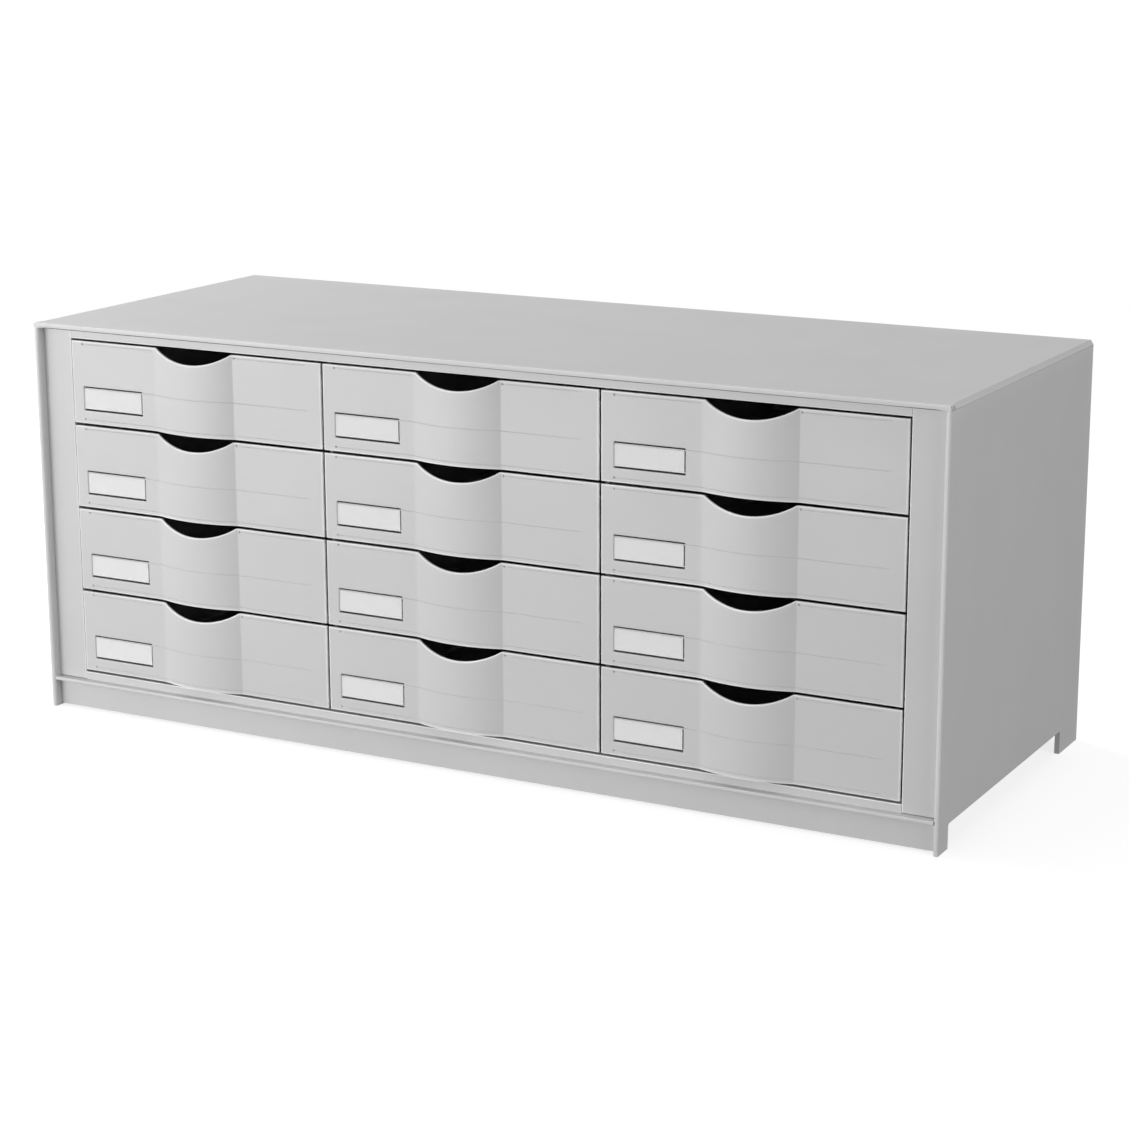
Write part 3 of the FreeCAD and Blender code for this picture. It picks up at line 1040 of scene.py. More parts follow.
@dataclass(frozen=True)
class ClearSheet:
    """Clear extruded polystyrene film, cut from a roll.

    It gives the eye a nearly unseen cover with a thin gloss and the odd hairline scratch.

    Attributes:
        name: Name of the material.
        colour: sRGB colour of the light it gives back.
        veil: Share of the light that it stops.
        scratch: Length of the hairlines.
        scratch_turn: Their lean, in radians.
        scratch_stretch: How often a hairline's width goes into its length.
        scratch_rarity: Values of their noise between which one comes up.
        roughness: Roughness between the hairlines and inside one.
    """

    name: str = "clear_polystyrene_film"
    colour: str = "#F4F5F5"
    veil: float = 0.1
    scratch: float = 9.0 * MM
    scratch_turn: float = 0.35
    scratch_stretch: float = 24.0
    scratch_rarity: Span = (0.6, 0.75)
    roughness: Span = (0.12, 0.4)

    def material(self) -> Material:
        """Builds the material: a glossy shader let through by its alpha, rougher in the scratches.

        Returns:
            The material.
        """
        material, tree = new_material(self.name)
        place = add_node(tree, "ShaderNodeTexCoord").outputs["Object"]
        along = add_node(
            tree,
            "ShaderNodeMapping",
            {
                "Vector": place,
                "Rotation": (0.0, self.scratch_turn, 0.0),
                "Scale": (1.0, 1.0, self.scratch_stretch),
            },
        )
        hairs = add_node(
            tree, "ShaderNodeTexNoise", {"Vector": along, "Scale": 1.0 / self.scratch, "Detail": 3.0}
        )
        roughness = add_node(
            tree, "ShaderNodeMapRange", dict(zip(RANGE, (hairs, *self.scratch_rarity, *self.roughness)))
        )
        shader = add_node(
            tree,
            "ShaderNodeBsdfPrincipled",
            {
                "Base Color": linear(self.colour),
                "Roughness": roughness,
                "IOR": POLYSTYRENE_IOR,
                "Alpha": self.veil,
            },
        )
        add_node(tree, "ShaderNodeOutputMaterial", {"Surface": shader})
        material.blend_method = "BLEND"
        return material


@dataclass(frozen=True)
class LightTable:
    """Matt white acrylic sheet of a product table, lit from beneath.

    It gives the eye an even white ground with faint soft shadows, which runs out into the white
    surround.

    Attributes:
        name: Name of the material.
        colour: sRGB colour of the sheet under light from above.
        roughness: Its roughness.
        gloss: How high its highlight is, on the shader's own scale.
        cloud: Width of its clouds.
        cloud_shade: How much darker the darkest of them is.
        glow: Light that comes through it.
        fade: Distances from the middle between which it runs out.
    """

    name: str = "lit_white_acrylic"
    colour: str = "#A2A2A2"
    roughness: float = 0.9
    gloss: float = 0.2
    cloud: float = 0.4
    cloud_shade: float = 0.01
    glow: float = 0.76
    fade: Span = (1.0, 2.35)

    def material(self) -> Material:
        """Builds the material: matt, with slow clouds of one percent, a glow and a faded rim.

        Returns:
            The material.
        """
        material, tree = new_material(self.name)
        place = add_node(tree, "ShaderNodeTexCoord").outputs["Object"]
        clouds = add_node(
            tree, "ShaderNodeTexNoise", {"Vector": place, "Scale": 1.0 / self.cloud, "Detail": 2.0}
        )
        shade = add_node(
            tree, "ShaderNodeMapRange", {"Value": clouds, "To Min": 1.0 - self.cloud_shade, "To Max": 1.0}
        )
        colour = add_node(
            tree, "ShaderNodeVectorMath", {0: linear(self.colour)[:3], "Scale": shade}, operation="SCALE"
        )
        distance = add_node(tree, "ShaderNodeVectorMath", {0: place}, operation="LENGTH")
        rim = add_node(
            tree,
            "ShaderNodeMapRange",
            dict(zip(RANGE, (distance.outputs["Value"], *self.fade, 1.0, 0.0))),
            interpolation_type="SMOOTHSTEP",
        )
        shader = add_node(
            tree,
            "ShaderNodeBsdfPrincipled",
            {
                "Base Color": colour,
                "Roughness": self.roughness,
                "Specular IOR Level": self.gloss,
                "Emission Color": WHITE,
                "Emission Strength": self.glow,
                "Alpha": rim,
            },
        )
        add_node(tree, "ShaderNodeOutputMaterial", {"Surface": shader})
        return material


@dataclass(frozen=True)
class WhiteSurround:
    """Evenly lit white cloth far behind everything.

    It gives the eye a clean white background in every direction.

    Attributes:
        name: Name of the material.
    """

    name: str = "lit_white_cloth"

    def material(self) -> Material:
        """Builds the material: plain white light.

        Returns:
            The material.
        """
        material, tree = new_material(self.name)
        light = add_node(tree, "ShaderNodeEmission", {"Color": WHITE, "Strength": 1.0})
        add_node(tree, "ShaderNodeOutputMaterial", {"Surface": light})
        return material


# ---------------------------------------------------------------------------------------------
# Cabinet
# ---------------------------------------------------------------------------------------------


@dataclass
class CabinetPart:
    """A sub-assembly of the cabinet itself, which stays put.

    Attributes:
        finish: Material of the cabinet's mouldings.
    """

    finish: Material

    def fit(self, surface: Surface, node: str) -> Object:
        """Puts a moulding in the place of its frame node."""
        return fit_piece(node + "_moulding", surface, self.finish, "cabinet_plastic", node, CABINET)


@dataclass
class CabinetShell(CabinetPart):
    """Top, sides, bottom and back of the cabinet.

    Attributes:
        lip: Radius of the front lips.
        lip_inside: Radius of the side lips towards the drawers.
        joint: Radius of the edges where the top meets the sides.
        top_side: Height of the facets along the top's side edges.
        ledge: Radius of the bottom sheet's front edge.
        cut: Small radius left by trimming along hidden edges.
        foot_corner: Radius inside the notch between the feet.
        front_foot: Length of a front foot.
        back_foot: Length of a back foot.
        foot_height: Height of the notch.
    """

    lip: float = 0.9 * MM
    lip_inside: float = 2.8 * MM
    joint: float = 0.17 * MM
    top_side: float = 4.0 * MM
    ledge: float = 0.8 * MM
    cut: float = 0.3 * MM
    foot_corner: float = 2.0 * MM
    front_foot: float = 21.4 * MM
    back_foot: float = 46.8 * MM
    foot_height: float = 20.6 * MM

    def build(self) -> None:
        """Builds all five sheets."""
        self.fit(self.top(), "top_panel")
        for side in Side:
            self.fit(self.side_sheet(side), "side_panel_" + side.word)
        self.fit(self.base(), "base_panel")
        self.fit(self.back(), "back_panel")

    def top(self) -> Surface:
        """Top sheet: rounded front lip, a facet along each side edge, rounded rear edge above.

        Returns:
            The closed surface.
        """
        low, high = node_box("top_panel")
        long_edge = EdgeRound(self.top_side, self.joint)
        plate = TopPlate(
            (low[0], high[0]),
            (low[1], high[1]),
            high[2] - low[2],
            u_low=long_edge,
            u_high=long_edge,
            v_low=EdgeRound(self.lip, self.lip),
            v_high=EdgeRound(self.lip, 0.0),
        )
        return plate.surface(
            lambda u, v, depth: np.stack([u, v, high[2] - depth], -1),
            u_stops=plate.u_stops(),
            v_stops=plate.v_stops(),
        )

    def side_sheet(self, side: Side) -> Surface:
        """Side sheet: rounded front lip and a long notch below that leaves two feet.

        Args:
            side: Which side.

        Returns:
            The closed surface.
        """
        low, high = node_box("side_panel_" + side.word)
        outer_x = high[0] if side is Side.RIGHT else low[0]
        front, back = low[1] + self.front_foot, high[1] - self.back_foot
        plate = SidePlate(
            (low[1], high[1]),
            (low[2], high[2]),
            high[0] - low[0],
            u_low=EdgeRound(self.lip, self.lip_inside),
            u_high=EdgeRound(self.cut, self.cut),
            v_low=EdgeRound(self.cut, self.cut),
            v_high=EdgeRound(self.joint, 0.0),
        )
        corner = self.foot_corner * CORNER_STEPS
        return plate.surface(
            lambda u, v, depth: np.stack([outer_x - side.value * depth, u, v], -1),
            u_stops=[round_stops(low[1], 1.0, plate.upper_lip), front + corner, back - corner],
            v_stops=[self.foot_height - corner],
            hole=lambda u, v: (u > front) & (u < back) & (v < self.foot_height),
            bend=lambda u, v: self.round_notch(u, v, (front, back)),
        )

    def round_notch(self, u: Array, v: Array, ends: Span) -> tuple[Array, Array]:
        """Rounds the notch's two upper corners by moving the grid points on its edge on to an arc.

        Each goes to the arc's centre plus the radius along its own direction from that centre.

        Args:
            u: Place of each point from front to back.
            v: Height of each point.
            ends: Front and back end of the notch.

        Returns:
            The moved coordinates.
        """
        u, v = u.copy(), v.copy()
        top, radius = self.foot_height, self.foot_corner
        for edge, inward in zip(ends, (1.0, -1.0)):
            centre_u = edge + inward * radius
            centre_v = top - radius
            across = (u - centre_u) * inward
            on_side = (np.abs(u - edge) < ON_LINE) & (v >= centre_v) & (v <= top + ON_LINE)
            on_top = (np.abs(v - top) < ON_LINE) & (across <= 0.0) & (across >= -radius - ON_LINE)
            chosen = on_side | on_top
            du, dv = u[chosen] - centre_u, v[chosen] - centre_v
            length = np.hypot(du, dv)
            u[chosen] = centre_u + radius * du / length
            v[chosen] = centre_v + radius * dv / length
        return u, v

    def base(self) -> Surface:
        """Bottom sheet, whose rounded front edge is the ledge under the drawers.

        Returns:
            The closed surface.
        """
        low, high = node_box("base_panel")
        plate = Plate(
            (low[0], high[0]),
            (low[1], high[1]),
            high[2] - low[2],
            v_low=EdgeRound(self.ledge, self.ledge),
            v_high=EdgeRound(self.cut, self.cut),
        )
        return plate.surface(lambda u, v, depth: np.stack([u, v, high[2] - depth], -1))

    def back(self) -> Surface:
        """Flat back between the sides.

        Returns:
            The closed surface.
        """
        low, high = node_box("back_panel")
        trimmed = all_edges(EdgeRound(self.cut, self.cut))
        plate = Plate((low[0], high[0]), (low[2], high[2]), high[1] - low[1], **trimmed)
        return plate.surface(lambda u, v, depth: np.stack([u, high[1] - depth, v], -1))


@dataclass
class FaceFrame(CabinetPart):
    """Stiles, rails and plinth: L-shaped bars round the drawers.

    Attributes:
        front_wall: Thickness of the face.
        return_wall: Thickness of the flange that runs back from it.
        edge: Radius of the edge round the opening.
        back_edge: Radius of the other edges.
        seam: Gap between a rail's end and the stile.
        rail_trim: How far the bottom rail's upper edge is cut back.
        step: Spacing of the stations along a bar.
    """

    front_wall: float = 3.0 * MM
    return_wall: float = 2.5 * MM
    edge: float = 0.6 * MM
    back_edge: float = 0.25 * MM
    seam: float = 0.2 * MM
    rail_trim: float = 0.8 * MM
    step: float = 40.0 * MM

    def build(self) -> None:
        """Builds the five bars."""
        for side in Side:
            node = "stile_" + side.word
            low, high = node_box(node)
            opening, outside = (high[0], low[0]) if side is Side.LEFT else (low[0], high[0])
            bar = self.bar(
                (opening, outside),
                (low[1], high[1]),
                (low[2], high[2]),
                lambda across, y, along: np.stack([across, y, along], -1),
            )
            self.fit(bar, node)
        for node, opening_below in (("top_rail", True), ("bottom_rail", False), ("plinth", False)):
            low, high = node_box(node)
            top = high[2] - (self.rail_trim if node == "bottom_rail" else 0.0)
            opening, outside = (low[2], top) if opening_below else (top, low[2])
            bar = self.bar(
                (opening, outside),
                (low[1], high[1]),
                (low[0] + self.seam, high[0] - self.seam),
                lambda across, y, along: np.stack([along, y, across], -1),
            )
            self.fit(bar, node)

    def bar(self, across: Span, y: Span, along: Span, place: Place) -> Surface:
        """One L-shaped bar: its outline is carried along the bar's own axis.

        Args:
            across: The flange's outer face and the free edge of the face.
            y: Front and back.
            along: The two ends.
            place: Turns the outline and the station into points of the frame.

        Returns:
            The closed surface.
        """
        inward = math.copysign(1.0, across[1] - across[0])
        flange = across[0] + inward * self.return_wall
        face_back = y[0] + self.front_wall
        corners = [
            (across[1], y[0]),
            (across[0], y[0]),
            (across[0], y[1]),
            (flange, y[1]),
            (flange, face_back),
            (across[1], face_back),
        ]
        radii = [0.0, self.edge, self.back_edge, self.back_edge, self.edge, self.back_edge]
        outline, wear_and_painted_light = rounded_chain(corners, radii)
        stations = grid_lines(along[0], along[1], self.step, [])
        return carried_bar(outline, wear_and_painted_light, stations, place)


@dataclass
class RunnerWalls(CabinetPart):
    """Liners and partitions that carry the drawers; their frame nodes are dressed as they are.

    Attributes:
        nodes: The frame's nodes by name.
        names: The walls among them.
    """

    nodes: dict[str, Object]
    names: tuple[str, ...] = ("liner_left", "liner_right", "partition_left", "partition_right")

    def build(self) -> None:
        """Gives each wall the cabinet's finish."""
        for name in self.names:
            wall = self.nodes[name]
            if wall.material_slots:
                wall.material_slots[0].material = self.finish
            else:
                wall.data.materials.append(self.finish)
            LOG.info("%s: dressed", name)


# ---------------------------------------------------------------------------------------------
# Drawers
# ---------------------------------------------------------------------------------------------


@dataclass(frozen=True)
class LabelPocket:
    """Shallow pocket for a label, in the plan of the drawer front.

    Attributes:
        x: Left and right wall, from the middle of the front.
        z: Lower and upper wall, above the lower edge of the front.
        depth: Depth of the pocket.
        slot: Height of the through slots along its lower and upper wall.
        end_slot: Width of the short slot at its right-hand wall.
        bridge: Height left standing between that slot and the long ones.
        shoulder: Radius of its rim.
        thumb: Radius of its left-hand rim, over which the card is slid in.
        draft: How far each wall leans.
    """

    x: Span = (-119.6 * MM, -56.1 * MM)
    z: Span = (11.7 * MM, 33.4 * MM)
    depth: float = 1.2 * MM
    slot: float = 1.4 * MM
    end_slot: float = 1.5 * MM
    bridge: float = 0.9 * MM
    shoulder: float = 0.2 * MM
    thumb: float = 0.85 * MM
    draft: float = 0.06 * MM

    def relief(self, x: Array, z: Array) -> Array:
        """Depth below the face: a small round outside each wall, a steep wall, then the floor.

        Args:
            x: Place across the front.
            z: Height above its lower edge.

        Returns:
            The depth.
        """
        inside = np.minimum.reduce([x - self.x[0], self.x[1] - x, z - self.z[0], self.z[1] - z])
        left = (x <= self.x[0]) & (z > self.z[0]) & (z < self.z[1])
        rim = np.where(left, round_drop(self.x[0] - x, self.thumb), round_drop(-inside, self.shoulder))
        wall = self.shoulder + (self.depth - self.shoulder) * np.clip(inside / self.draft, 0.0, 1.0)
        return np.where(inside > 0.0, wall, rim)

    def slots(self, x: Array, z: Array) -> Array:
        """Which places are inside the three through slots.

        Args:
            x: Place across the front.
            z: Height above its lower edge.

        Returns:
            True inside a slot.
        """
        between = (x > self.x[0] + self.draft) & (x < self.x[1] - self.draft)
        low = (z > self.z[0]) & (z < self.z[0] + self.slot)
        high = (z > self.z[1] - self.slot) & (z < self.z[1])
        reach = self.slot + self.bridge
        beside = (x > self.x[1] - self.end_slot) & (x < self.x[1] - self.draft)
        end = beside & (z > self.z[0] + reach) & (z < self.z[1] - reach)
        return (between & (low | high)) | end

    def x_stops(self) -> Array:
        """Grid lines across that draw its end walls.

        Returns:
            Their places.
        """
        steps = np.append(self.shoulder * RIM_STEPS, self.draft)
        thumb = round_stops(self.x[0], -1.0, self.thumb)
        return np.concatenate([self.x[0] + steps, thumb, self.x[1] - steps, [self.x[1] - self.end_slot]])

    def z_stops(self) -> Array:
        """Grid lines up that draw its long walls and slots."""
        steps = np.append(self.shoulder * RIM_STEPS, [self.slot, self.slot + self.bridge])
        return np.concatenate([self.z[0] + steps, self.z[1] - steps])


@dataclass(frozen=True)
class MouldedLine:
    """Shallow half-round line across the front.

    Attributes:
        z: Its height above the front's lower edge.
        x: Where it starts and ends, from the middle of the front.
        width: Its width.
        depth: Its depth.
        fade: Length over which it runs out at either end.
    """

    z: float
    x: Span
    width: float = 0.8 * MM
    depth: float = 0.45 * MM
    fade: float = 0.6 * MM

    def relief(self, x: Array, z: Array) -> Array:
        """Depth below the face: depth (1 - t^2) over the width, faded out at both ends.

        Args:
            x: Place across the front.
            z: Height above its lower edge.

        Returns:
            The depth.
        """
        t = (z - self.z) / (0.5 * self.width)
        ends = np.clip(np.minimum(x - self.x[0], self.x[1] - x) / self.fade, 0.0, 1.0)
        return self.depth * np.clip(1.0 - t**2, 0.0, None) * ends

    def x_stops(self) -> Array:
        """Grid lines across at its ends."""
        return np.array([self.x[0], self.x[0] + self.fade, self.x[1] - self.fade, self.x[1]])

    def z_stops(self) -> Array:
        """Grid lines up that draw its hollow."""
        return self.z + 0.5 * self.width * HOLLOW_STEPS


@dataclass(frozen=True)
class Dimple:
    """Small gate mark: a round hollow in the front.

    Attributes:
        x: Its place from the middle of the front.
        z: Its height above the front's lower edge.
        radius: Its radius.
        depth: Its depth.
    """

    x: float
    z: float
    radius: float = 0.95 * MM
    depth: float = 1.3 * MM

    def relief(self, x: Array, z: Array) -> Array:
        """Depth below the face: depth (1 - t^2), where t is the distance over the radius."""
        t2 = ((x - self.x) ** 2 + (z - self.z) ** 2) / self.radius**2
        return self.depth * np.clip(1.0 - t2, 0.0, None)

    def stops(self, middle: float) -> Array:
        """Grid lines that draw it, on either axis."""
        return middle + self.radius * HOLLOW_STEPS


@dataclass(frozen=True)
class DrawerFront:
    """Front of a drawer: a plate with one bowed grip, an arched scoop and a label pocket.

    Attributes:
        width: Width of the front.
        height: Height of the front.
        pocket: Its label pocket.
        lines: Its moulded lines.
        dimples: Its gate marks.
        wall: Its thickness.
        trim: How far its right-hand end and its upper edge are cut back.
        edge: Radius of its outer edges.
        rim: Radius of the scoop's edge.
        inner_edge: Radius of the edges behind.
        grip_half: Half the width of the bow.
        grip_bow: How far the bow stands forward.
        left_crease: Softness of the bow's left crease.
        right_crease: Softness of its right crease, which is crisper.
        crease_level: How many times its softness below the flat the bow's circle is followed.
        scoop_half: Half the width of the scoop.
        scoop_depth: Depth of the scoop below the upper edge.
        rim_fade: How far outside a tip of the scoop its rim starts, and how far inside it is full.
        rub_and_highlight: Width of the smoothed strip with a painted highlight along the edges, and how
            much wider at the scoop.
        sink: Heights between which the grid sinks towards the scoop.
        spacing: Largest gap between grid lines, across and up.
        bow_lines: How many grid lines draw the bow.
        left_reach: How far on either side of the left crease its grid lines go.
        left_lines: How many they are.
        right_steps: Distances of the grid lines on either side of the right crease.
        tip_step: Distance of the grid line on either side of a tip of the scoop.
        highlight_steps: Grid lines that draw the end of the smoothed, highlighted strip, in its own widths.
    """

    width: float
    height: float
    pocket: LabelPocket
    lines: tuple[MouldedLine, ...]
    dimples: tuple[Dimple, ...]
    wall: float = 2.5 * MM
    trim: Span = (0.5 * MM, 0.6 * MM)
    edge: float = 0.6 * MM
    rim: float = 0.9 * MM
    inner_edge: float = 0.25 * MM
    grip_half: float = 41.0 * MM
    grip_bow: float = 7.5 * MM
    left_crease: float = 0.9 * MM
    right_crease: float = 0.18 * MM
    crease_level: float = 6.0
    scoop_half: float = 39.44 * MM
    scoop_depth: float = 11.2 * MM
    rim_fade: Span = (1.0 * MM, 3.0 * MM)
    rub_and_highlight: Span = (1.8 * MM, 0.5 * MM)
    sink: Span = (36.0 * MM, 66.0 * MM)
    spacing: Span = (6.0 * MM, 3.0 * MM)
    bow_lines: int = 47
    left_reach: float = 3.5 * MM
    left_lines: int = 15
    right_steps: tuple[float, ...] = (0.1 * MM, 0.25 * MM, 0.5 * MM, 0.9 * MM, 1.5 * MM)
    tip_step: float = 0.6 * MM
    highlight_steps: tuple[float, ...] = (0.7, 1.0, 1.3)

    def right(self) -> float:
        """Place of its right-hand end."""
        return 0.5 * self.width - self.trim[0]

    def top(self) -> float:
        """Height of its upper edge."""
        return self.height - self.trim[1]

    def grip_radius(self) -> float:
        """Radius of the bow: (half width^2 + rise^2) / (2 rise)."""
        return (self.grip_half**2 + self.grip_bow**2) / (2.0 * self.grip_bow)

    def bow(self, x: Array, inset: float) -> Array:
        """How far a skin stands forward of its flat parts.

        The bow is a circle's height above the flat. It meets the flat through the smooth maximum
        (h + sqrt(h^2 + k^2)) / 2, less what that adds on the far flat, with k wider on the left.

        Args:
            x: Place across the front.
            inset: Depth of the skin below the face; its circle is smaller by as much.

        Returns:
            The rise of the skin above its own flat.
        """
        radius = self.grip_radius()
        inner = radius - inset
        reach = np.minimum(np.abs(x), 0.999 * inner)  # Short of the circle's end, where it is upright.
        rise = np.sqrt(inner**2 - reach**2) - (radius - self.grip_bow) + inset
        blend = smooth_step(x, -0.5 * self.grip_half, 0.5 * self.grip_half)
        k = self.left_crease + (self.right_crease - self.left_crease) * blend
        level = self.crease_level
        rise = np.maximum(rise, -level * k)
        soft = 0.5 * (rise + np.sqrt(rise**2 + k**2))
        floor = 0.5 * (-level * k + np.sqrt((level**2 + 1.0) * k**2))
        return soft - floor

    def scoop(self, x: Array) -> tuple[Array, Array]:
        """Depth of the scoop below the upper edge, and the cosine of its slope.

        The scoop is a circle through both tips and the lowest point.

        Args:
            x: Place across the front.

        Returns:
            The depth and the cosine, at each place.
        """
        radius = (self.scoop_half**2 + self.scoop_depth**2) / (2.0 * self.scoop_depth)
        inside = np.clip(np.abs(x), 0.0, self.scoop_half)
        height = np.sqrt(radius**2 - inside**2)
        depth = self.scoop_depth - radius + height
        cosine = np.where(np.abs(x) < self.scoop_half, height / radius, 1.0)
        return depth, cosine

    def relief(self, x: Array, z: Array) -> Array:
        """Depth of everything sunk into the face, the deepest feature first."""
        features = [self.pocket, *self.lines, *self.dimples]
        return np.max([feature.relief(x, z) for feature in features], axis=0)

    def grid(self) -> tuple[Array, Array]:
        """Grid lines across and up the front, close together where it curves.

        Returns:
            Rising places across, and rising heights.
        """
        half = 0.5 * self.width
        left = np.linspace(-self.left_reach, self.left_reach, self.left_lines)
        outwards = np.array(self.right_steps)
        right = np.concatenate([-outwards[::-1], [0.0], outwards])
        tip = np.array([-self.tip_step, 0.0, self.tip_step])
        fading = self.rub_and_highlight[0] * np.array(self.highlight_steps)
        x_stops = [
            round_stops(-half, 1.0, self.edge),
            round_stops(self.right(), -1.0, self.edge),
            fading - half,
            self.right() - fading,
            np.linspace(-self.grip_half, self.grip_half, self.bow_lines),
            -self.grip_half + left,
            self.grip_half + right,
            -self.scoop_half + tip,
            self.scoop_half + tip,
            self.pocket.x_stops(),
        ]
        z_stops = [
            round_stops(0.0, 1.0, self.edge),
            round_stops(self.top(), -1.0, self.edge),
            round_stops(self.top(), -1.0, self.rim),
            fading,
            self.top() - fading,
            self.pocket.z_stops(),
        ]
        for line in self.lines:
            x_stops.append(line.x_stops())
            z_stops.append(line.z_stops())
        for dimple in self.dimples:
            x_stops.append(dimple.stops(dimple.x))
            z_stops.append(dimple.stops(dimple.z))
        x_lines = grid_lines(-half, self.right(), self.spacing[0], x_stops)
        z_lines = grid_lines(0.0, self.top(), self.spacing[1], z_stops)
        return merge_close(x_lines), merge_close(z_lines)

    def surface(self, face_y: float) -> Surface:
        """Builds the front.

        Depth below the flat face is the edge rounds' fall plus the relief, less the bow. Grid rows
        sink towards the scoop by its depth, times a smooth step of their height.

        Args:
            face_y: Y of the flat face.

        Returns:
            The closed surface, about the middle of the front and its lower edge.
        """
        half = 0.5 * self.width
        x, row = np.meshgrid(*self.grid(), indexing="ij")
        depth, cosine = self.scoop(x)
        z = row - depth * smooth_step(row, *self.sink)
        side = np.minimum(half + x, self.right() - x)
        upper = (self.top() - depth - z) * cosine
        starts, full = self.scoop_half + self.rim_fade[0], self.scoop_half - self.rim_fade[1]
        scooped = smooth_step(np.abs(x), starts, full)
        falls = []
        for edge in (self.edge, self.inner_edge):
            top_edge = edge + (self.rim - edge) * scooped
            total = round_drop(side, edge) ** 2 + round_drop(z, edge) ** 2
            falls.append(np.minimum(np.sqrt(total + round_drop(upper, top_edge) ** 2), top_edge))
        front_y = face_y - self.bow(x, 0.0) + falls[0] + self.relief(x, z)
        rear_y = face_y + self.wall - self.bow(x, self.wall) - falls[1]
        present = ~self.pocket.slots(cell_middles(x), cell_middles(z))
        # Strip along the edges and the scoop's rim that the plastic smooths and paints lighter as a painted
        # highlight.
        near = np.minimum.reduce([side, z, upper])
        reach = self.rub_and_highlight[0] + self.rub_and_highlight[1] * scooped
        wear_and_painted_light = 1.0 - smooth_step(near / reach, 0.0, 1.0)
        outside, inside = np.stack([x, front_y, z], -1), np.stack([x, rear_y, z], -1)
        return closed_sheet(outside, inside, present, (wear_and_painted_light, wear_and_painted_light))


def merge_close(lines: Array) -> Array:
    """Drops grid lines that follow another by less than the narrowest gap.

    Args:
        lines: Rising places.

    Returns:
        Those that are kept.
    """
    kept = [lines[0]]
    for line in lines[1:]:
        if line - kept[-1] > NARROW:
            kept.append(line)
    return np.array(kept)


